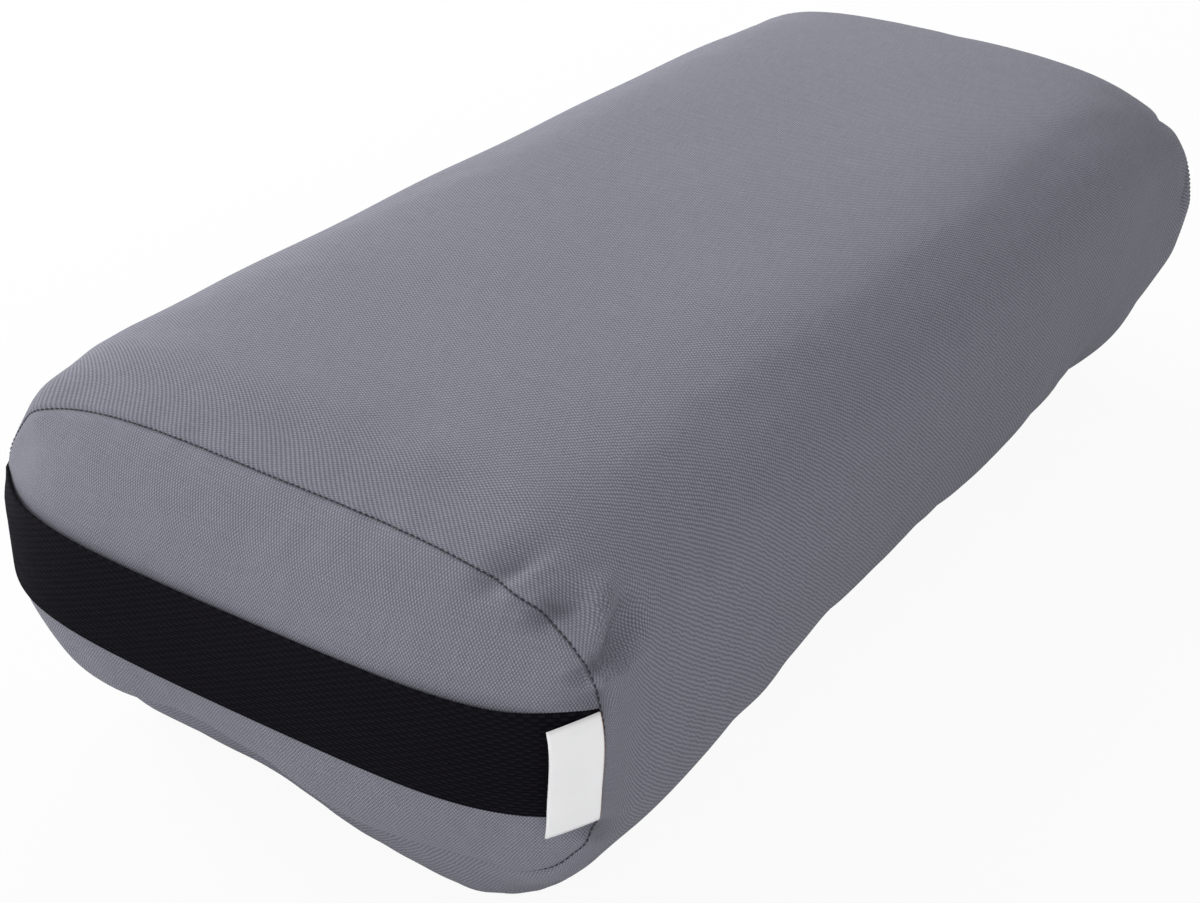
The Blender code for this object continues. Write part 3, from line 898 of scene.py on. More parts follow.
DENTS: tuple[Dent, ...] = (
    # The hollow under the left half of the near end, and the fuller right half.
    Dent((-34, -312, 12), 7.0, 32),
    Dent((-74, -314, 8), 5.0, 26),
    Dent((-66, -332, 26), 5.5, 24),
    Dent((-42, -336, 30), 4.0, 24),
    Dent((-8, -332, 26), 11.0, 30),
    Dent((-32, -338, 44), 4.5, 26),
    Dent((14, -336, 38), 3.5, 22),
    Dent((84, -316, 14), -5.0, 28),
    Dent((122, -322, 42), -8.5, 20),
    Dent((136, -294, 34), 5.5, 28),
    # The outline of the right side, which swells and falls in a little along the bolster.
    Dent((144, -178, 60), -3.0, 40),
    Dent((144, 94, 60), -5.2, 48),
    Dent((144, 152, 52), -2.4, 22),
    Dent((142, 226, 36), 4.2, 27),
    Dent((143, 318, 106), -6.0, 34),
    # The left shoulder stands out softly all along.
    Dent((-131, -268, 158), -2.2, 30),
    Dent((-134, -190, 160), -2.0, 60),
    Dent((-135, -50, 160), -1.8, 80),
    Dent((-135, 110, 160), -1.8, 80),
    # The near left corner: it stands out above, and is drawn in beside the strap's end.
    Dent((-125, -315, 157), -3.4, 15),
    Dent((-131, -328, 143), 3.8, 15),
    # Along the right-hand side, and soft unevenness on top.
    Dent((144, -215, 62), -3.0, 42),
    Dent((143, -61, 66), 2.0, 20),
    Dent((144, 40, 66), -2.0, 50),
    Dent((140, 300, 36), 2.8, 24),
    Dent((141, 232, 26), -3.6, 30),
    Dent((146, 296, 150), -2.6, 22),
    Dent((67, -296, 178), 1.4, 16),
    Dent((28, -286, 183), 1.0, 20),
)


@dataclass(frozen=True)
class Ripples:
    """Waves of several lengths and directions over the cloth, the same each run."""

    height: float
    shortest: float
    longest: float
    along_bolster: float = 1.0
    waves: int = 14
    seed: int = 4

    def push(self, points: Array) -> Array:
        """How far each point goes inwards."""
        draw = np.random.default_rng(self.seed)
        total = np.zeros(len(points))
        for _ in range(self.waves):
            direction = draw.normal(size=3) * (1.0, self.along_bolster, 1.0)
            direction /= np.linalg.norm(direction)
            length = draw.uniform(self.shortest, self.longest)
            total += np.sin(points @ direction * (2 * np.pi / length) + draw.uniform(0, 2 * np.pi))
        return total * self.height / math.sqrt(self.waves)


def ring_net(rings: Sequence[Array], places: Sequence[float]) -> Array:
    """The points of rings of x and z, each at its place along Y."""
    return np.array([np.insert(ring, 1, y, axis=1) for ring, y in zip(rings, places)])


def run_along(points: Array, gain: Array | float = 1.0) -> Array:
    """The length along each column of a net up to each point, with a gain on each step."""
    steps = np.linalg.norm(np.diff(points, axis=0), axis=2) * gain
    return np.concatenate([np.zeros((1, steps.shape[1])), np.cumsum(steps, axis=0)])


def skin_rings(form: StuffedForm, columns: int, row_step: float, end_shares: Sequence[float]) -> list[Patch]:
    """Nets of rings over the near end, the body and the far end of the stuffed form.

    Args:
        form: the form they lie on.
        columns: how many points there are round each ring.
        row_step: the distance between the body's rings.
        end_shares: the sizes of the rings over an end, as shares of its rim.

    Returns:
        The three nets, with places along the cloth.
    """

    def even(length: float) -> Array:
        """Even places round an outline."""
        return np.linspace(0.0, length, columns + 1)[:-1]

    def stack(rings: Sequence[Array], places: Sequence[float], along: Sequence[Array]) -> Patch:
        """A net through rings of x and z at places along Y."""
        points = ring_net(rings, places)
        return Patch.grid(points, np.dstack([np.array(along), run_along(points)]), 0.05, True).facing_out()

    rim, rim_along = form.ring(0.0, even)
    ends = []
    for end in End:
        rings = [rim * (share, share) + (0.0, form.middle * (1 - share)) for share in (*end_shares, 1.0)]
        depths = [
            end.value * (form.seam_y + form.swell * (1 - share**form.swell_power))
            for share in (*end_shares, 1.0)
        ]
        ends.append(stack(rings, depths, [rim_along] * len(rings)))
    places = np.linspace(-form.seam_y, form.seam_y, round(2 * form.seam_y / row_step) + 1)
    body = [form.ring(form.seam_y - abs(y), even) for y in places]
    return [ends[0], stack([ring for ring, _ in body], places, [along for _, along in body]), ends[1]]


@dataclass
class Stuffing:
    """The cover's skin as simulated cloth, pressed out by its stuffing between its sewn lines."""

    form: StuffedForm
    columns: int = 116
    row_step: float = 9 * MM
    end_shares: tuple[float, ...] = (0.04, 0.14, 0.25, 0.36, 0.47, 0.57, 0.66, 0.75, 0.83, 0.90, 0.96)
    pressure: float = 4.0
    last_frame: int = 20
    ease: float = 3 * MM
    spare_cloth: float = -0.03
    held_reach: float = 26 * MM
    held_swell: float = 0.6
    floor_reach: float = 14 * MM
    zipper_x: float = -0.1
    zipper_zone: tuple[float, float] = (9 * MM, 29 * MM)
    strap_zone: tuple[float, float] = (4 * MM, 16 * MM)
    share: float = 0.35
    most: float = 1.0 * MM
    blur: float = 8 * MM

    def __post_init__(self) -> None:
        """Simulates the skin."""
        self.tree = KDTree(1)
        self.swell = np.zeros(0)
        self.simulate()

    def freedom(self, points: Array) -> Array:
        """How freely the cloth moves: 0 on the floor, the seams, the zipper and the strap, else up to 1."""
        x, y, z = points.T
        past = np.abs(y) - self.form.seam_y
        swell_reach = self.held_swell * self.form.swell
        free = smooth_step(np.where(past > 0, past / swell_reach, -past / self.held_reach))
        free *= smooth_step(z / self.floor_reach)
        free *= np.where(x < self.zipper_x, between(np.abs(z - self.form.middle), self.zipper_zone), 1.0)
        low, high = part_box("handle_strap")
        strap = np.abs(z - (low.z + high.z) / 2) - (high.z - low.z) / 2
        return free * np.where(past * (y < 0) > 0, between(strap, self.strap_zone), 1.0)

    def skin(self) -> Patch:
        """The three nets of rings as one closed skin, whose last two points are its tips."""
        near, wrap, far = (
            patch.points.reshape(-1, self.columns, 3)
            for patch in skin_rings(self.form, self.columns, self.row_step, self.end_shares)
        )
        rings = np.concatenate([near[:-1], wrap, far[-2::-1]])
        tip = np.array([[0.0, self.form.seam_y + self.form.swell, self.form.middle]])
        points = np.concatenate([rings.reshape(-1, 3), tip * (1, -1, 1), tip])
        faces = net(len(rings), self.columns, True)
        return Patch(points, faces, np.zeros((len(points), 2)), np.zeros(len(points))).facing_out()

    def caps(self, skin: Patch) -> list[Sequence[int]]:
        """Triangles that close the skin round its tips."""
        turned = skin.faces[0][1] < skin.faces[0][0]
        near_tip = len(skin.points) - 2
        first = near_tip - self.columns
        faces = []
        for column in range(self.columns):
            after = (column + 1) % self.columns
            faces += [(near_tip, after, column), (near_tip + 1, first + column, first + after)]
        return [face[::-1] if turned else face for face in faces]

    def run_cloth(self, skin: Patch, start: Array, free: Array) -> Array:
        """Runs the cloth once.

        Args:
            skin: the skin's faces.
            start: where its points start.
            free: how freely each moves.

        Returns:
            Where its points end.
        """
        mesh = bpy.data.meshes.new("stuffed_skin")
        mesh.from_pydata(start.tolist(), [], skin.faces.tolist() + self.caps(skin))
        item = linked("stuffed_skin", mesh)
        held = item.vertex_groups.new(name="held")
        for number, weight in enumerate(1.0 - free):
            held.add([number], float(weight), "REPLACE")
        cloth = item.modifiers.new("cloth", "CLOTH")
        settings = {
            "quality": 6,
            "mass": 0.3,
            "bending_stiffness": 0.4,
            "use_pressure": True,
            "uniform_pressure_force": self.pressure,
            "shrink_min": self.spare_cloth,
            "vertex_group_mass": held.name,
        }
        for name, value in settings.items():
            setattr(cloth.settings, name, value)
        cloth.settings.effector_weights.gravity = 0.0
        cloth.point_cache.frame_end = self.last_frame
        for frame in range(1, self.last_frame + 1):
            bpy.context.scene.frame_set(frame)
        done = item.evaluated_get(bpy.context.evaluated_depsgraph_get()).data
        moved = np.zeros(start.size, np.float32)
        done.vertices.foreach_get("co", moved)
        bpy.context.scene.frame_set(1)
        bpy.data.objects.remove(item)
        return moved.reshape(-1, 3)

    def simulate(self) -> None:
        """Runs the cloth from its slackened skin, and keeps how far each point ends outside the form."""
        skin = self.skin()
        normals, free = skin.normals(), self.freedom(skin.points)
        start = skin.points - normals * (self.ease * free)[:, None]
        out = ((self.run_cloth(skin, start, free) - skin.points) * normals).sum(axis=1)
        usual = np.median(out[free > 0.9])
        LOG.info("skin: moved %.1f to %.1f mm, median %.1f", out.min() / MM, out.max() / MM, usual / MM)
        self.swell = ((out - usual) * self.share).clip(-self.most, self.most) * free
        self.tree = KDTree(len(start))
        for number, place in enumerate(skin.points):
            self.tree.insert(place, number)
        self.tree.balance()

    def push(self, points: Array) -> Array:
        """How far each point goes outwards."""
        if not len(self.swell):
            return np.zeros(len(points))
        out = np.zeros(len(points))
        for number, place in enumerate(points):
            found = self.tree.find_n(place, 9)
            share = bell(np.array([gap for _, _, gap in found]), self.blur)
            out[number] = share @ self.swell[[index for _, index, _ in found]] / share.sum()
        return out


def strip(inner: Array, outer: Array, closed: bool) -> Array:
    """The faces between two lines of points with these numbers."""
    faces = np.column_stack([inner, np.roll(inner, -1), np.roll(outer, -1), outer])
    return faces if closed else faces[:-1]


@dataclass
class Cover:
    """The canvas cover: one panel round the body, with a zipper slot, and a panel at each end."""

    form: StuffedForm
    canvas: float = 1.2 * MM
    columns: int = 256
    crowding: float = 0.35
    first_row: float = 0.45 * MM
    row_growth: float = 1.28
    widest_row: float = 4.6 * MM
    seam_gap: float = 0.15 * MM
    lip_depths: tuple[float, ...] = (1.4 * MM, 3.6 * MM)
    groove_depth: float = 0.9 * MM
    groove_width: float = 1.1 * MM
    hem_places: tuple[float, ...] = (0.0, 0.5 * MM, 1.5 * MM, 3.0 * MM, 6.0 * MM)
    hem_round: float = 0.5 * MM
    hem_rise: float = 0.9
    slot_half: float = 4.5 * MM
    slot_end: float = 230 * MM
    slot_taper: float = 8 * MM
    closed_gap: float = 0.2 * MM
    panel_rings: int = 32
    flat_share: float = 0.965
    edge_shares: tuple[float, ...] = (0.978, 0.988, 0.995, 1.0)
    gathers: Ripples = Ripples(0.30 * MM, 13 * MM, 30 * MM, along_bolster=0.1)
    gather_reach: float = 14 * MM
    seam_turn: float = 7 * MM
    corner_powers: Point = (3.0, 1.0, 3.0)
    sewn_share: float = 0.42
    inner_spread: float = 2.4
    skew: float = 0.25
    easing: float = 0.42
    easing_reach: float = 62.0 * MM
    end_grain: tuple[float, float] = (1.56, 1.19)
    lumps: Ripples = Ripples(0.55 * MM, 90 * MM, 190 * MM, seed=11)
    floor_fade: float = 14 * MM

    def __post_init__(self) -> None:
        """Lays out the panels."""
        self.stuffing = Stuffing(self.form)
        self.wrap, self.wrap_shape = self.lay_wrap()
        self.ends = {end: self.lay_end(end) for end in End}

    def body_grid(self) -> Array:
        """The points of the panel round the body, row by row."""
        rows, columns = self.wrap_shape
        return self.wrap.points[: rows * columns].reshape(rows, columns, 3)

    def rows(self) -> Array:
        """The distances from the seam of the rows of points, up to the bolster's middle."""
        places, step = [0.0], self.first_row
        while places[-1] < self.form.seam_y:
            places.append(places[-1] + step)
            step = min(step * self.row_growth, self.widest_row)
        return np.array(places) * self.form.seam_y / places[-1]

    def slot_gap(self, y: float) -> float:
        """How far the cloth's edge lies from the zipper's line at y."""
        closing = smooth_step((abs(y) - self.slot_end) / self.slot_taper)
        return self.slot_half + (self.closed_gap - self.slot_half) * closing

    def column_places(self, length: float, gap: float) -> Array:
        """Where the columns cross an outline of this length, with an open gap at both of its ends."""
        hem = np.array(self.hem_places) + gap
        inner = np.linspace(0.0, 1.0, self.columns + 3 - 2 * len(hem))
        inner = inner + self.crowding * np.sin(2 * np.pi * inner) / (2 * np.pi)
        middle = hem[-1] + (length - 2 * hem[-1]) * inner[1:-1]
        return np.concatenate([hem, middle, length - hem[::-1]])

    def soft_folds(self, points: Array) -> Array:
        """How far the stuffed cloth goes inwards at its dents and lumps."""
        inward = self.lumps.push(points) * smooth_step(points[:, 2] / self.floor_fade)
        return inward + sum(dent.push(points) for dent in DENTS) - self.stuffing.push(points)

    def folds(self, points: Array) -> Array:
        """How far it goes inwards with its creases, which are held down at their seam."""
        beside = smooth_step(np.abs(np.abs(points[:, 1]) - self.form.seam_y) / self.seam_turn)
        creases = sum(crease.push(points) for crease in CREASES)
        return self.soft_folds(points) + creases * (self.sewn_share + (1 - self.sewn_share) * beside)

    def inner_folds(self, points: Array) -> Array:
        """How far what lies below the cover goes inwards, so that every crease clears it softly."""
        creases = [crease.push(points, self.inner_spread) for crease in CREASES]
        return self.soft_folds(points) + np.max(creases, axis=0).clip(0.0)

    def relief(self, points: Array, seam: Array) -> Array:
        """How far the cloth goes inwards in all, with the gathers and grooves of its seams."""
        gathers = self.gathers.push(points) * np.exp(-seam / self.gather_reach)
        groove = self.groove_depth * bell(seam, self.groove_width)
        return self.folds(points) + gathers + groove

    def settled(self, patch: Patch) -> Patch:
        """A panel with its relief pressed in, and nothing of it below the floor.

        Both panels of a seam move along the same direction there, so that it stays shut.

        Args:
            patch: the smooth panel.

        Returns:
            The same patch, changed.
        """
        patch = patch.facing_out()
        inward = self.relief(patch.points, patch.seam)
        corner = patch.points - (0.0, 0.0, self.form.middle)
        corner /= (self.form.half_width, self.form.seam_y, self.form.middle)
        corner = unit(np.sign(corner) * np.abs(corner) ** self.corner_powers)
        share = bell(patch.seam, self.seam_turn)[:, None]
        away = patch.normals() * (1 - share) + corner * share
        patch.points = patch.points - away * inward[:, None]
        patch.points[:, 2] = patch.points[:, 2].clip(0.0)
        # The creases' depth, kept for the canvas to paint shade into its folds.
        patch.fold = sum(crease.push(patch.points) for crease in CREASES)
        return patch

    def wrap_ring(self, y: float) -> tuple[Array, Array]:
        """The body panel's ring at y, as x and z, and the places along it."""
        gap = self.slot_gap(y)
        return self.form.ring(self.form.seam_y - abs(y), lambda length: self.column_places(length, gap))

    def lay_wrap(self) -> tuple[Patch, tuple[int, int]]:
        """Lays the panel round the body.

        Returns:
            The panel, and its rows and columns of points.
        """
        half = self.rows()
        places = np.concatenate([half - self.form.seam_y, self.form.seam_y - half[-2::-1]])
        rings, along = zip(*(self.wrap_ring(y) for y in places))
        points, along = ring_net(rings, places), np.array(along)
        inset = self.form.seam_y - np.abs((places[1:] + places[:-1]) / 2)
        across = run_along(points, 1.0 + self.easing * bell(inset, self.easing_reach)[:, None])
        across -= across[len(places) // 2]
        hem = np.abs(along[:, :1]) - np.abs(along)
        points[:, :, 0] += self.hem_rise * self.canvas * bell(hem, self.hem_round)
        cloth = np.dstack([across, along + self.skew * across])
        seam = (self.form.seam_y - np.abs(places))[:, None]
        patch = self.settled(Patch.grid(points, cloth, seam))
        numbers = np.arange(along.size).reshape(along.shape)
        for edge, end in ((numbers[0], End.NEAR), (numbers[-1], End.FAR)):
            self.turn_in(patch, edge, False, -end.value, before=end is End.NEAR)
        return patch, along.shape

    def lay_end(self, end: End) -> Patch:
        """Lays an end panel: squares of points, one in another, that swell out from the seam.

        Args:
            end: which end.

        Returns:
            The panel.
        """
        rim, _ = self.form.ring(0.0, lambda length: self.column_places(length, self.closed_gap))
        rim = np.append(rim[:-1], rim[:1], axis=0) - (0.0, self.form.middle)
        rings = self.panel_rings
        side = np.arange(-rings, rings + 1)
        x, z = np.meshgrid(side, side)
        level = np.maximum(np.abs(x), np.abs(z))
        conditions = [(x == -level) & (z >= 0), z == level, x == level, z == -level]
        turn = np.select(conditions, [z, 2 * level + x, 4 * level - z, 6 * level - x], 8 * level + z)
        where = (turn / (8 * np.maximum(level, 1)) * self.columns).ravel()
        share = self.flat_share * level.ravel() / rings
        numbers = np.arange(self.columns + 1)
        radii = sampled(where, numbers, rim)
        faces = [net(len(side), len(side))]
        boundary = np.flatnonzero(level.ravel() == rings)
        edge = boundary[np.argsort(turn.ravel()[boundary])]
        for outer_share in self.edge_shares:
            ahead = len(radii) + numbers[:-1]
            faces.append(strip(edge, ahead, True))
            radii = np.concatenate([radii, rim[:-1]])
            share = np.append(share, np.full(self.columns, outer_share))
            edge = ahead
        flat = radii * share[:, None]
        shares = np.linspace(0.0, 1.0, 201)
        rise = self.form.swell * (1 - shares**self.form.swell_power)
        slope = np.gradient(rise, shares) / self.form.half_width
        arc = np.append(0.0, np.cumsum(np.sqrt(1 + slope[1:] ** 2) * np.diff(shares)))
        cloth = radii * np.interp(share, shares, arc)[:, None] * self.end_grain
        depth = end.value * (self.form.seam_y + np.interp(share, shares, rise))
        points = np.column_stack([flat[:, 0], depth, flat[:, 1] + self.form.middle])
        seam = np.linalg.norm(radii, axis=1) * (1 - share)
        patch = self.settled(Patch(points, np.concatenate(faces), cloth, seam))
        self.turn_in(patch, edge, True, end.value, before=end is End.FAR)
        return patch

    def turn_in(self, patch: Patch, edge: Array, closed: bool, way: int, before: bool) -> None:
        """Adds the lip that turns in at a seam.

        Args:
            patch: the panel, which gets the lip's points and faces.
            edge: the numbers of the points along its edge.
            closed: whether the edge closes on itself.
            way: the sign of Y from the seam towards the panel.
            before: whether the lip's faces run from it to the panel.
        """
        rim = patch.points[edge]
        ahead = np.roll(rim, -1, axis=0) - np.roll(rim, 1, axis=0)
        if not closed:
            ahead[0], ahead[-1] = rim[1] - rim[0], rim[-1] - rim[-2]
        outward = unit(np.column_stack([-ahead[:, 2], np.zeros(len(rim)), ahead[:, 0]]))
        shift = np.array((0.0, way * self.seam_gap, 0.0))
        for depth in self.lip_depths:
            numbers = len(patch.points) + np.arange(len(edge))
            patch.points = np.concatenate([patch.points, rim - outward * depth + shift])
            patch.cloth = np.concatenate([patch.cloth, patch.cloth[edge]])
            patch.seam = np.append(patch.seam, np.zeros(len(rim)))
            patch.fold = np.append(patch.fold, np.zeros(len(rim)))
            faces = strip(numbers, edge, closed) if before else strip(edge, numbers, closed)
            patch.faces = np.concatenate([patch.faces, faces])
            edge = numbers

    def build(self) -> list[bpy.types.Object]:
        """Makes the three panels, riding on the cover."""
        names = {End.NEAR: "cover_near_end", End.FAR: "cover_far_end"}
        made = [self.wrap.item("cover_body", CANVAS, self.canvas)]
        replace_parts(made[0], "cover_body_panel")
        for end, patch in self.ends.items():
            panel = patch.item(names[end], CANVAS, self.canvas)
            made.append(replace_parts(panel, f"{names[end]}_panel"))
        for panel in made:
            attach(panel, "cover")
        return made


class Recipe:
    """A Geometry Nodes tree with named inputs, which turns a line into repeated small pieces."""

    def __init__(self, name: str, sizes: dict[str, float]) -> None:
        """Starts the tree, with an input for each size."""
        self.tree = bpy.data.node_groups.new(name, "GeometryNodeTree")
        sockets = self.tree.interface
        sockets.new_socket("Line", in_out="INPUT", socket_type="NodeSocketGeometry")
        for key, value in sizes.items():
            made = sockets.new_socket(key, in_out="INPUT", socket_type="NodeSocketFloat")
            made.default_value = value
        sockets.new_socket("Pieces", in_out="OUTPUT", socket_type="NodeSocketGeometry")
        self.craft = Craft(self.tree)
        self.start = self.craft.node("NodeGroupInput")

    def given(self, name: str) -> Wire:
        """One of the tree's inputs."""
        return Wire(self.craft, self.start.outputs[name])

    def places(self, pitch: Wire) -> bpy.types.NodeSocket:
        """Points along the line, a pitch apart."""
        curve = self.craft.node("GeometryNodeMeshToCurve", None, {0: self.start.outputs["Line"]})
        spaced = self.craft.node("GeometryNodeResampleCurve", {"mode": "LENGTH"}, {"Curve": curve.outputs[0]})
        self.craft.plug(spaced.inputs["Length"], pitch)
        return spaced.outputs[0]

    def placed(self, points: object, piece: object, turn: object, finish: Finish) -> None:
        """Ends the tree: a copy of the piece at each point, as plain faces in one material."""
        plugs = {"Points": points, "Instance": piece, "Rotation": turn}
        copies = self.craft.node("GeometryNodeInstanceOnPoints", None, plugs)
        real = self.craft.node("GeometryNodeRealizeInstances", None, {0: copies.outputs[0]})
        shaded = self.craft.node("GeometryNodeSetShadeSmooth", None, {0: real.outputs[0]})
        plugs = {"Geometry": shaded.outputs[0], "Material": finish.material()}
        dressed = self.craft.node("GeometryNodeSetMaterial", None, plugs)
        self.craft.node("NodeGroupOutput", None, {0: dressed.outputs[0]})

    def run(
        self, name: str, lines: Sequence[Array], finish: Finish, sizes: dict[str, float]
    ) -> bpy.types.Object:
        """Runs the tree on lines of points.

        Args:
            name: the name of the object made.
            lines: the lines, each an array of points.
            finish: not used.
            sizes: the inputs' values by name.

        Returns:
            The pieces as one plain mesh.
        """
        mesh = bpy.data.meshes.new(name)
        edges, start = [], 0
        for line in lines:
            edges += [(start + number, start + number + 1) for number in range(len(line) - 1)]
            start += len(line)
        mesh.from_pydata(np.concatenate(lines).tolist(), edges, [])
        made = linked(name, mesh)
        modifier = made.modifiers.new("recipe", "NODES")
        modifier.node_group = self.tree
        for item in self.tree.interface.items_tree:
            if item.in_out == "INPUT" and item.name in sizes:
                modifier[item.identifier] = sizes[item.name]
        graph = bpy.context.evaluated_depsgraph_get()
        plain = bpy.data.meshes.new_from_object(made.evaluated_get(graph))
        made.modifiers.clear()
        made.data = plain
        return made


def stitch_recipe(finish: Finish) -> Recipe:
    """A tree that lays stitches along a line."""
    recipe = Recipe(f"{finish.name}_stitches", {"Pitch": 2.4 * MM, "Length": 1.7 * MM, "Radius": 0.25 * MM})
    craft = recipe.craft
    bead = craft.node("GeometryNodeMeshUVSphere", None, {"Segments": 6, "Rings": 5, "Radius": 1.0})
    radius, length = recipe.given("Radius"), recipe.given("Length")
    size = craft.vector(radius, radius, length * 0.5)
    stitch = craft.node("GeometryNodeTransform", None, {"Geometry": bead.outputs[0], "Scale": size})
    tangent = craft.node("GeometryNodeInputTangent").outputs[0]
    turn = craft.node("FunctionNodeAlignRotationToVector", {"axis": "Z"}, {"Vector": tangent})
    recipe.placed(recipe.places(recipe.given("Pitch")), stitch.outputs[0], turn.outputs[0], finish)
    return recipe


def coil_recipe(finish: Finish) -> Recipe:
    """A tree that lays the loops of a zipper's coil along a line in Y.

    Args:
        finish: the loops' finish.

    Returns:
        The tree.
    """
    sizes = {"Pitch": 1.3 * MM, "Depth": 1.0 * MM, "Width": 1.0 * MM, "Wire": 0.3 * MM, "Lean": 0.25}
    recipe = Recipe("coil_loops", sizes)
    craft = recipe.craft
    circle = craft.node("GeometryNodeCurvePrimitiveCircle", None, {"Resolution": 10, "Radius": 1.0})
    size = craft.vector(recipe.given("Depth"), recipe.given("Width"), 1.0)
    upright = craft.vector(math.pi / 2, 0.0, recipe.given("Lean"))
    plugs = {"Geometry": circle.outputs[0], "Scale": size, "Rotation": upright}
    loop = craft.node("GeometryNodeTransform", None, plugs)
    round_wire = craft.node("GeometryNodeCurvePrimitiveCircle", None, {"Resolution": 5})
    craft.plug(round_wire.inputs["Radius"], recipe.given("Wire"))
    plugs = {"Curve": loop.outputs[0], "Profile Curve": round_wire.outputs[0]}
    solid = craft.node("GeometryNodeCurveToMesh", None, plugs)
    recipe.placed(recipe.places(recipe.given("Pitch")), solid.outputs[0], (0.0, 0.0, 0.0), finish)
    return recipe


@dataclass
class Seams:
    """The stitching of both end seams and of the zipper."""

    cover: Cover
    pitch: float = 2.6 * MM
    length: float = 1.9 * MM
    radius: float = 0.28 * MM
    lift: float = 0.25 * MM
    top_column: int = 4
    top_lift: float = 0.12 * MM
    bar_reach: float = 6 * MM

    def end_line(self, row: int) -> Array:
        """The line of thread in the groove of an end seam."""
        rim = self.cover.body_grid()[row]
        line = rim + unit((rim - (0.0, 0.0, self.cover.form.middle)) * (1.0, 0.0, 1.0)) * self.lift
        return np.append(line, line[:1], axis=0)

    def top_lines(self) -> list[Array]:
        """The topstitching round the zipper slot: a line along each side, and a bar across each end."""
        grid = self.cover.body_grid()
        rows = np.abs(grid[:, 0, 1]) < self.cover.slot_end + self.bar_reach
        inside = grid[rows]
        column = self.top_column
        across = [*range(column, -1, -1), *range(-1, -2 - column, -1)]
        lines = [inside[:, column], inside[:, -1 - column], inside[0][across], inside[-1][across]]
        return [line - (self.top_lift, 0.0, 0.0) for line in lines]

    def build(self) -> list[bpy.types.Object]:
        """Makes the stitching, riding on the cover."""
        sizes = {"Pitch": self.pitch, "Length": self.length, "Radius": self.radius}
        dark, grey = stitch_recipe(SEAM_THREAD), stitch_recipe(TOP_THREAD)
        lines = [self.end_line(0), self.end_line(-1)]
        made = [
            dark.run("end_seam_stitches", lines, SEAM_THREAD, sizes),
            grey.run("zipper_topstitching", self.top_lines(), TOP_THREAD, sizes),
        ]
        for item in made:
            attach(item, "cover")
        return made


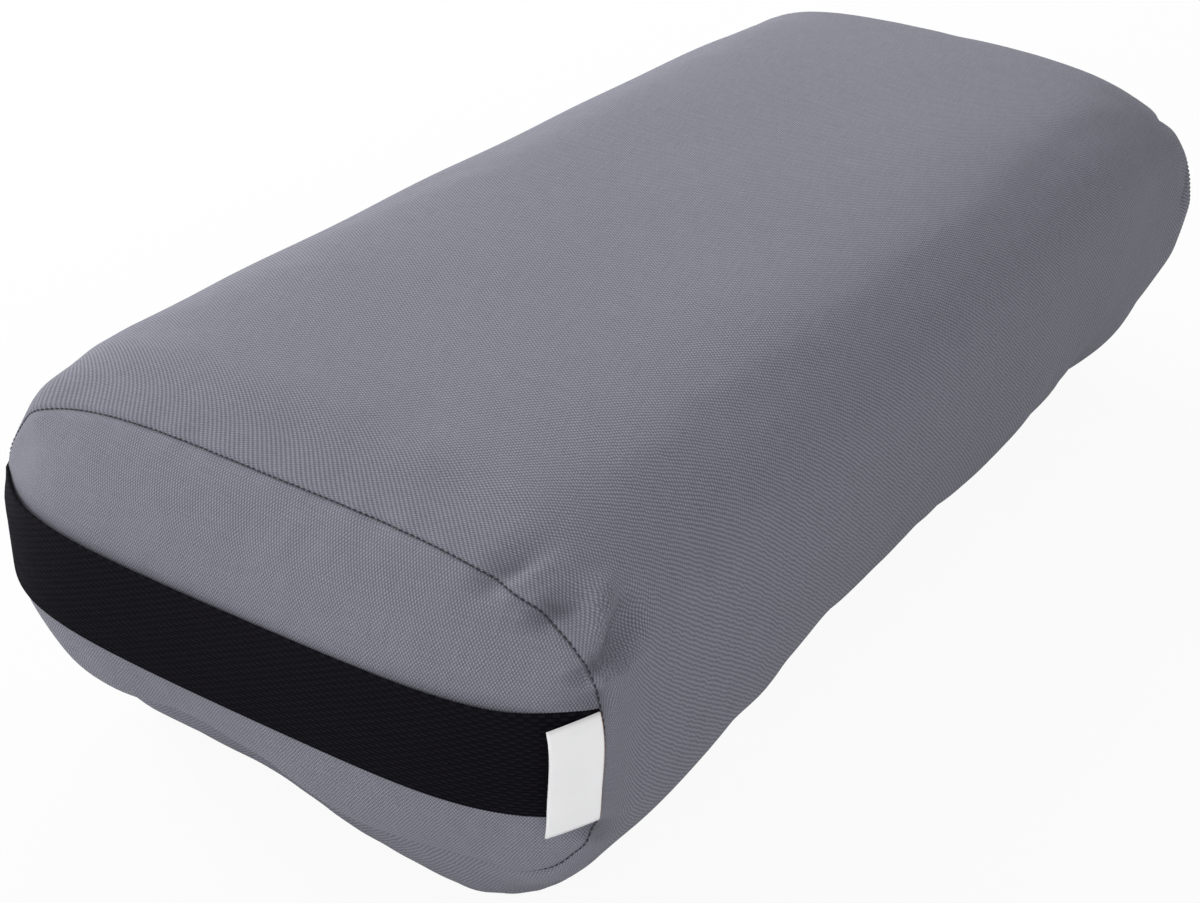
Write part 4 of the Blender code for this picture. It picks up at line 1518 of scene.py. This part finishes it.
@dataclass
class Handle:
    """The webbing handle, which lies on the near end and is sewn into its seam at both sides."""

    cover: Cover
    clearance: float = 0.3 * MM
    overhang: float = -0.2 * MM
    slope: float = 1.7 * MM
    hug_from: float = 108 * MM
    hem_reach: float = 4 * MM
    power: float = 5.0
    stations: int = 170
    ribs: int = 32
    rib_depth: float = 0.22 * MM
    back_points: int = 17
    edge: float = 0.7 * MM
    tuck: float = 4 * MM
    sway: float = 0.5 * MM
    sway_from: float = 50 * MM
    sway_turns: float = 1.5
    sway_start: float = 0.6
    tucked_share: float = 0.45

    def __post_init__(self) -> None:
        """Reads the strap's size and height from the frame."""
        self.form = self.cover.form
        low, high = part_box("handle_strap")
        self.width = high.z - low.z
        self.height = (low.z + high.z) / 2
        self.thickness = -low.y - (self.form.seam_y + self.clearance + self.form.swell)

    def path(self, stations: int, out: float = 0.0) -> Array:
        """The strap's back in plan, from the left seam to the right one.

        Args:
            stations: how many stretches it has.
            out: how far outside the back the path lies.

        Returns:
            The points as x and y.
        """
        share = np.sin(np.linspace(-np.pi / 2, np.pi / 2, stations + 1))
        rise = self.form.swell * (1 - np.abs(share) ** self.power)
        x = share * (self.form.half_width + self.overhang)
        path = np.column_stack([x, -(self.form.seam_y + self.clearance + rise)])
        ahead = unit(np.gradient(path, axis=0))
        return path + out * np.column_stack([ahead[:, 1], -ahead[:, 0]])

    def hug(self, points: Array) -> Array:
        """Draws points on or over the strap in, with the seam that its ends are sewn into.

        Args:
            points: the points.

        Returns:
            The moved points.
        """
        rim = self.cover.body_grid()[0]
        moved = points.copy()
        x, _, z = np.moveaxis(points, -1, 0)
        half = self.form.half_width
        share = smooth_step((np.abs(x) - self.hug_from) / (half - self.hug_from))
        for side in (-1.0, 1.0):
            beyond = rim[:, 0] * side > 0.8 * half
            edge = rim[beyond & (np.abs(rim[:, 2] - self.form.middle) > self.hem_reach)]
            edge = edge[np.argsort(edge[:, 2])]
            for axis, place in ((0, side * half), (1, -self.form.seam_y)):
                shift = np.interp(z, edge[:, 2], edge[:, axis]) - place
                moved[..., axis] += np.where(x * side > 0, shift * share, 0.0)
        return moved

    def section(self) -> Array:
        """The band's cross-section, as shares of the way out and metres across."""
        half = self.width / 2
        across = np.linspace(self.edge - half, half - self.edge, 4 * self.ribs + 1)
        rib = np.abs(np.sin(across * np.pi * self.ribs / self.width))
        depth = self.rib_depth / self.thickness
        front = np.column_stack([1 - depth * (1 - rib), across])
        round_edge = [(0.86, half - 0.25 * self.edge), (0.5, half), (0.14, half - 0.25 * self.edge)]
        flat = np.linspace(half - self.edge, self.edge - half, self.back_points)
        back = np.column_stack([np.zeros_like(flat), flat])
        other_edge = [(share, -place) for share, place in reversed(round_edge)]
        return np.concatenate([front, round_edge, back, other_edge])

    def build(self) -> bpy.types.Object:
        """Makes the strap.

        Returns:
            The strap.
        """
        back, front = self.path(self.stations), self.path(self.stations, self.thickness)
        along = lengths(back)
        from_end = np.minimum(along, along[-1] - along)
        full = self.tucked_share + (1 - self.tucked_share) * smooth_step(from_end / self.tuck)
        section = self.section()
        share = section[None, :, 0] * full[:, None]
        plan = back[:, None] + (front - back)[:, None] * share[..., None]
        turns = along / along[-1] * 2 * self.sway_turns * np.pi + self.sway_start
        sway = self.sway * np.sin(turns) * smooth_step(from_end / self.sway_from)
        sway = sway + self.slope * back[:, 0] / self.form.half_width
        points = self.hug(np.dstack([plan, self.height + section[None, :, 1] + sway[:, None]]))
        cloth = np.dstack(np.broadcast_arrays(along[:, None], section[None, :, 1]))
        strap = Patch.grid(points, cloth, closed=True).item("webbing_strap", WEBBING)
        rows, columns = share.shape
        close_rings(strap, (0, (rows - 1) * columns), columns)
        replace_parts(strap, "handle_strap")
        seam, crown = -self.form.seam_y, -self.form.seam_y - self.form.swell
        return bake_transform(strap)


@dataclass
class Label:
    """The blank folded satin label, sewn into the right-hand seam over the strap's end."""

    handle: Handle
    length: float = 21 * MM
    ply: float = 0.22 * MM
    gap: float = 0.3 * MM
    rows: int = 30
    stretches: int = 28
    bow: float = 1.3 * MM
    curl: float = 1.1 * MM
    cut_slant: float = 0.9 * MM
    rise: float = 1.2 * MM
    stand_off: float = 21.0
    away: tuple[float, float] = (0.55, -0.83)
    fold_reach: float = 0.25 * MM
    bow_share: float = 0.25
    stations: int = 400

    def plan(self, reach: Array) -> Array:
        """The folded label from above: its outer layer, the bend, and its inner layer back to the seam."""
        outs = (self.gap, 2 * self.gap + self.ply)
        inner, outer = (self.handle.path(self.stations, self.handle.thickness + out)[::-1] for out in outs)
        along = lengths(inner)
        bend = sampled(np.array([self.length + self.fold_reach]), along, inner)
        plan = np.concatenate([sampled(reach, along, outer), bend, sampled(reach[::-1], along, inner)])
        turn = np.array(Matrix.Rotation(-math.radians(self.stand_off), 2))
        return plan[0] + (plan - plan[0]) @ turn

    def build(self) -> bpy.types.Object:
        """Makes the label.

        Returns:
            The label.
        """
        low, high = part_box("blank_label")
        height, middle = high.z - low.z, (low.z + high.z) / 2 + self.rise
        reach = np.linspace(0.0, self.length, self.stretches + 1)
        plan = self.plan(reach)
        spread = np.concatenate([reach, [self.length], reach[::-1]])
        share = spread / self.length
        heights = np.linspace(-0.5, 0.5, self.rows + 1)[:, None]
        lift = self.curl * share**2 * (2 * np.abs(heights)) ** 3
        lift = lift + self.bow * np.cos(np.pi * heights) * bell(share, self.bow_share)
        x, y = (plan[:, axis] + self.away[axis] * lift for axis in range(2))
        points = self.handle.hug(np.dstack([x, y, middle + height * heights - self.cut_slant * share]))
        cloth = np.dstack(np.broadcast_arrays(spread, height * heights))
        label = Patch.grid(points, cloth).facing_out().item("blank_satin_label", SATIN, self.ply)
        label.modifiers[0].offset = 0.0
        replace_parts(label, "blank_label")
        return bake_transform(label)


@dataclass
class Zipper:
    """The zipper in the cover's left side: tapes, coils, stops, and the slider with its pull tab."""

    nodes: dict[str, bpy.types.Object]
    pitch: float = 1.3 * MM
    wire: float = 0.3 * MM
    bite: float = 0.3 * MM
    tape_gap: float = 0.1 * MM
    tape_columns: int = 12
    tape_rows: int = 240
    tape_inset: float = 0.06 * MM
    tape_thinner: float = 0.1 * MM
    tape_wave: float = 0.04 * MM
    tape_wave_length: float = 11 * MM
    lean: float = 0.22
    round_edge: float = 0.14 * MM

    def half(self, kind: str, side: str, past: float) -> tuple[Vector, Vector]:
        """The box of one half, grown up to the zipper's line.

        Args:
            kind: tape or coil.
            side: upper or lower.
            past: how far past the line it goes, less than nought for short of it.

        Returns:
            The box's low and high corner.
        """
        low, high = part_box(f"zipper_{kind}_{side}")
        line = (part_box(f"zipper_{kind}_upper")[0].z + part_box(f"zipper_{kind}_lower")[1].z) / 2
        if side == "upper":
            low.z = line - past
        else:
            high.z = line + past
        return low, high

    def tape(self, side: str) -> bpy.types.Object:
        """One tape, as woven ribbon."""
        low, high = self.half("tape", side, -self.tape_gap)
        y = np.linspace(low.y, high.y, self.tape_rows + 1)
        z = np.linspace(low.z, high.z, self.tape_columns + 1)
        wave = self.tape_wave * np.sin(y * 2 * np.pi / self.tape_wave_length)
        grid_y, grid_z = np.meshgrid(y, z, indexing="ij")
        points = np.dstack([np.full_like(grid_y, low.x + self.tape_inset) + wave[:, None], grid_y, grid_z])
        cloth = np.dstack([grid_y, grid_z - (low.z + high.z) / 2])
        patch = Patch.grid(points, cloth, 1.0).facing_out()
        made = patch.item(f"zipper_tape_{side}_woven", TAPE, high.x - low.x - self.tape_thinner)
        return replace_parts(made, f"zipper_tape_{side}")

    def coil(self, side: str, recipe: Recipe) -> bpy.types.Object:
        """One half of the coil, as loops of drawn nylon.

        Args:
            side: upper or lower.
            recipe: lays the loops.

        Returns:
            The half.
        """
        low, high = self.half("coil", side, self.bite)
        x, z = (low.x + high.x) / 2, (low.z + high.z) / 2
        shift = 0.0 if side == "upper" else self.pitch / 2
        line = np.array([(x, low.y + shift + self.wire, z), (x, high.y - self.pitch, z)])
        sizes = {
            "Pitch": self.pitch,
            "Depth": (high.x - low.x) / 2 - self.wire,
            "Width": (high.z - low.z) / 2 - self.wire,
            "Wire": self.wire,
            "Lean": self.lean if side == "upper" else -self.lean,
        }
        made = recipe.run(f"zipper_coil_{side}_loops", [line], NYLON, sizes)
        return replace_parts(made, f"zipper_coil_{side}")

    def rounded(self, node: str, name: str) -> bpy.types.Object:
        """A packed metal piece with its edges rounded and lacquered.

        Args:
            node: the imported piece.
            name: the new one's name.

        Returns:
            The new piece.
        """
        mesh = self.nodes[node].data.copy()
        mesh.name = name
        with reworked(mesh) as work:
            bmesh.ops.remove_doubles(work, verts=work.verts[:], dist=0.001 * MM)
            bmesh.ops.dissolve_limit(
                work, angle_limit=math.radians(1), verts=work.verts[:], edges=work.edges[:]
            )
        made = LACQUER.put_on(linked(name, mesh))
        smooth(mesh, 35)
        bevel = made.modifiers.new("rounding", "BEVEL")
        bevel.width = self.round_edge
        bevel.segments = 2
        bevel.limit_method = "ANGLE"
        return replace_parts(made, node)

    def build(self) -> list[bpy.types.Object]:
        """Makes the zipper's pieces, each riding on its body."""
        coils = coil_recipe(NYLON)
        made = []
        for side in ("upper", "lower"):
            made.append(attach(self.tape(side), "cover"))
            made.append(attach(self.coil(side, coils), "cover"))
            made.append(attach(self.rounded(f"zipper_top_stop_{side}", f"top_stop_{side}"), "cover"))
        made.append(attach(self.rounded("zipper_bottom_stop", "bottom_stop"), "cover"))
        made.append(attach(self.rounded("zipper_slider", "slider_body"), "slider"))
        made.append(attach(self.rounded("zipper_pull_tab", "slider_pull"), "pull_tab"))
        return made


@dataclass
class InnerCushion:
    """What the cover holds: a muslin case, two halves of batting and a foam core in two blocks."""

    cover: Cover
    columns: int = 128
    case_ease: float = 4.75 * MM
    batting_ease: float = 6.2 * MM
    muslin: float = 0.5 * MM
    end_shares: tuple[float, ...] = (0.04, 0.14, 0.26, 0.38, 0.5, 0.62, 0.73, 0.83, 0.91, 0.97)
    row_step: float = 9 * MM
    parting: float = 0.2 * MM
    floor_gap: float = 0.4 * MM
    core_gap: float = 0.5 * MM
    round_core: float = 7 * MM

    def rings(self) -> list[Patch]:
        """Nets of rings over the near end, the body and the far end of the cushion."""
        return skin_rings(self.cover.form, self.columns, self.row_step, self.end_shares)

    def inset(self, patch: Patch, ease: float) -> Patch:
        """A net drawn in below the cover, with the cover's own folds."""
        folds = self.cover.inner_folds(patch.points)
        points = patch.points - patch.normals() * (folds + ease)[:, None]
        floor = self.cover.canvas + (ease - self.case_ease) + self.floor_gap
        points[:, 2] = points[:, 2].clip(floor)
        return Patch(points, patch.faces, patch.cloth, patch.seam)

    def case(self) -> list[bpy.types.Object]:
        """Makes the muslin case.

        Returns:
            The panel at the near end, the one round the body, and the one at the far end.
        """
        near, wrap, far = (self.inset(patch, self.case_ease) for patch in self.rings())
        limit = self.cover.form.seam_y - self.case_ease
        for patch in (near, far):
            sign = np.sign(patch.points[:, 1])
            patch.points[:, 1] = sign * np.abs(patch.points[:, 1]).clip(limit + self.parting)
        wrap.points[:, 1] = wrap.points[:, 1].clip(-limit, limit)
        made = []
        for patch, name in ((near, "near_end"), (wrap, "wrap"), (far, "far_end")):
            item = patch.item(f"case_{name}", MUSLIN, self.muslin)
            if name != "wrap":
                close_rings(item, (0,), self.columns)
                item.data.shade_smooth()
            made.append(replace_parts(item, f"inner_case_{name}"))
        return made

    def batting(self, half: str) -> bpy.types.Object:
        """Makes one half of the batting, hollowed for its half of the core.

        Args:
            half: upper or lower.

        Returns:
            The half.
        """
        upper = half == "upper"
        near, body, far = (
            self.inset(part, self.batting_ease).points.reshape(-1, self.columns, 3) for part in self.rings()
        )
        inside = np.abs(body[:, 0, 1]) < np.abs(near[-1, 0, 1]) - 1 * MM
        rings = np.concatenate([near, body[inside], far[::-1]])
        faces = net(len(rings), self.columns, True).tolist()
        first = list(range(self.columns))
        last = [(len(rings) - 1) * self.columns + column for column in first]
        mesh = bpy.data.meshes.new(f"batting_{half}_fleece")
        mesh.from_pydata(rings.reshape(-1, 3).tolist(), [], [*faces, first, last])
        with reworked(mesh) as work:
            level = self.cover.form.middle + (self.parting if upper else -self.parting)
            sliced = bmesh.ops.bisect_plane(
                work, geom=work.verts[:] + work.edges[:] + work.faces[:], plane_co=(0, 0, level),
                plane_no=(0, 0, 1), clear_inner=upper, clear_outer=not upper,
            )
            edges = [part for part in sliced["geom_cut"] if isinstance(part, bmesh.types.BMEdge)]
            bmesh.ops.holes_fill(work, edges=edges)
            bmesh.ops.recalc_face_normals(work, faces=work.faces[:])
        made = FLEECE.put_on(linked(mesh.name, mesh))
        cutter = self.block("core_space", *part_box(f"foam_core_{half}"), self.core_gap)
        hollow = made.modifiers.new("core", "BOOLEAN")
        hollow.object = cutter
        graph = bpy.context.evaluated_depsgraph_get()
        made.data = bpy.data.meshes.new_from_object(made.evaluated_get(graph))
        made.modifiers.clear()
        bpy.data.objects.remove(cutter)
        smooth(made.data, 50)
        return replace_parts(made, f"batting_{half}")

    def block(self, name: str, low: Vector, high: Vector, grow: float = 0.0) -> bpy.types.Object:
        """Makes a foam block with rounded long edges.

        Args:
            name: its name.
            low: the low corner of its box.
            high: the high corner.
            grow: how far it is grown all round.

        Returns:
            The block.
        """
        middle = self.cover.form.middle
        mesh = bpy.data.meshes.new(name)
        with reworked(mesh) as work:
            bmesh.ops.create_cube(work, size=1.0)
            bmesh.ops.scale(work, vec=high - low + Vector((grow, grow, grow)) * 2, verts=work.verts[:])
            bmesh.ops.translate(work, vec=(low + high) / 2, verts=work.verts[:])
            away = max(abs(low.z - middle), abs(high.z - middle))
            outer = [
                edge for edge in work.edges
                if all(abs(abs(vert.co.z - middle) - away) < 3 * grow + 1 * MM for vert in edge.verts)
            ]
            bmesh.ops.bevel(
                work, geom=outer, offset=self.round_core, offset_type="OFFSET", segments=5, profile=0.5,
                affect="EDGES",
            )
        return linked(name, mesh)

    def core(self, half: str) -> bpy.types.Object:
        """One block of the foam core."""
        made = FOAM.put_on(self.block(f"core_{half}_foam", *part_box(f"foam_core_{half}")))
        smooth(made.data, 40)
        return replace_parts(made, f"foam_core_{half}")

    def build(self) -> list[bpy.types.Object]:
        """Makes the whole cushion, riding on the cover."""
        made = self.case()
        for half in ("upper", "lower"):
            made += [self.batting(half), self.core(half)]
        for item in made:
            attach(item, "cover")
        return made


@dataclass
class Studio:
    """The pale floor, the soft lights and the camera."""

    camera_place: Point = (0.4129, -0.7901, 0.5444)
    yaw: float = math.radians(30.4882)
    pitch: float = math.radians(-30.0144)
    roll: float = math.radians(3.7109)
    focal_pixels: float = 1969.0
    picture_width: float = 1200.0
    sensor: float = 36.0
    floor_reach: float = 6.0
    floor_drop: float = 0.2 * MM
    sky: float = 0.36
    aim: Point = (0.0, 0.0, 0.09)
    glow: float = 0.93

    def camera(self) -> None:
        """A camera at the photograph's place and angle."""
        data = bpy.data.cameras.new("camera")
        data.sensor_width = self.sensor
        data.lens = self.focal_pixels / self.picture_width * self.sensor
        data.clip_end = 50.0
        ahead = Vector((
            -math.sin(self.yaw) * math.cos(self.pitch),
            math.cos(self.yaw) * math.cos(self.pitch),
            math.sin(self.pitch),
        ))
        level = Vector((math.cos(self.yaw), math.sin(self.yaw), 0.0))
        upright = level.cross(ahead)
        right = level * math.cos(self.roll) + upright * math.sin(self.roll)
        up = upright * math.cos(self.roll) - level * math.sin(self.roll)
        turn = Matrix((right, up, -ahead)).transposed().to_4x4()
        made = linked("camera", data)
        made.matrix_world = Matrix.Translation(self.camera_place) @ turn
        bpy.context.scene.camera = made

    def lamp(self, name: str, place: Point, size: float, power: float) -> None:
        """A large soft lamp that faces the bolster's middle."""
        data = bpy.data.lights.new(name, "AREA")
        data.shape = "DISK"
        data.size = size
        data.energy = power
        turn = (Vector(self.aim) - Vector(place)).to_track_quat("-Z", "Y")
        linked(name, data).matrix_world = Matrix.Translation(place) @ turn.to_matrix().to_4x4()

    def seen(self, craft: Craft) -> Wire:
        """1 for what the camera sees by itself, in a gloss or through glass, and 0 for light."""
        path = craft.node("ShaderNodeLightPath")
        rays = ("Is Camera Ray", "Is Glossy Ray", "Is Transmission Ray")
        camera, glossy, through = (Wire(craft, path.outputs[name]) for name in rays)
        return (camera + glossy + through).clamped()

    def world(self) -> None:
        """A soft sky that shows as white."""
        made = bpy.data.worlds.new("studio")
        made.use_nodes = True
        craft = Craft(made.node_tree)
        glow = made.node_tree.nodes["Background"]
        set_inputs(glow, {"Color": WHITE})
        seen = self.seen(craft)
        craft.plug(glow.inputs["Strength"], seen + (1.0 - seen) * self.sky)
        bpy.context.scene.world = made

    def floor(self) -> None:
        """A pale floor that keeps a faint shadow."""
        reach, drop = self.floor_reach, self.floor_drop
        corners = [(x * reach, y * reach, -drop) for x, y in ((-1, -1), (1, -1), (1, 1), (-1, 1))]
        mesh = bpy.data.meshes.new("floor")
        mesh.from_pydata(corners, [], [(0, 1, 2, 3)])
        material = bpy.data.materials.new("pale_floor")
        material.use_nodes = True
        craft = Craft(material.node_tree)
        shader = material.node_tree.nodes["Principled BSDF"]
        set_inputs(shader, {"Base Color": PALE, "Roughness": 1.0, "Specular IOR Level": 0.0})
        glow = craft.node("ShaderNodeEmission", None, {"Color": WHITE, "Strength": 1.0})
        plugs = {0: self.seen(craft) * self.glow, 1: shader.outputs[0], 2: glow.outputs[0]}
        mix = craft.node("ShaderNodeMixShader", None, plugs)
        craft.plug(material.node_tree.nodes["Material Output"].inputs[0], mix.outputs[0])
        mesh.materials.append(material)
        linked("floor", mesh)

    def build(self) -> None:
        """Sets the camera, the light and the floor."""
        self.camera()
        self.world()
        self.floor()
        self.lamp("side_window", (-2.4, -0.3, 1.1), 1.6, 45.0)
        self.lamp("back_light", (-1.4, 1.8, 1.8), 1.6, 35.0)
        self.lamp("front_fill", (-0.9, -2.3, 1.2), 1.6, 8.5)
        self.lamp("right_fill", (1.4, -2.0, 1.2), 1.6, 19.0)
        bpy.context.scene.view_settings.view_transform = "Standard"


def main() -> None:
    """Builds the dressed bolster round its frame."""
    logging.basicConfig(level=logging.INFO, format="%(message)s")
    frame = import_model()
    Studio().build()
    form = StuffedForm.from_frame()
    cover = Cover(form)
    handle = Handle(cover)
    for piece in cover.build() + Seams(cover).build():
        LOG.info("cover: %s", piece.name)
    LOG.info("handle: %s", handle.build().name)
    LOG.info("label: %s", Label(handle).build().name)
    for piece in Zipper(frame["nodes"]).build():
        LOG.info("zipper: %s", piece.name)
    for piece in InnerCushion(cover).build():
        LOG.info("inner cushion: %s", piece.name)
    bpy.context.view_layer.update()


if __name__ == "__main__":
    main()
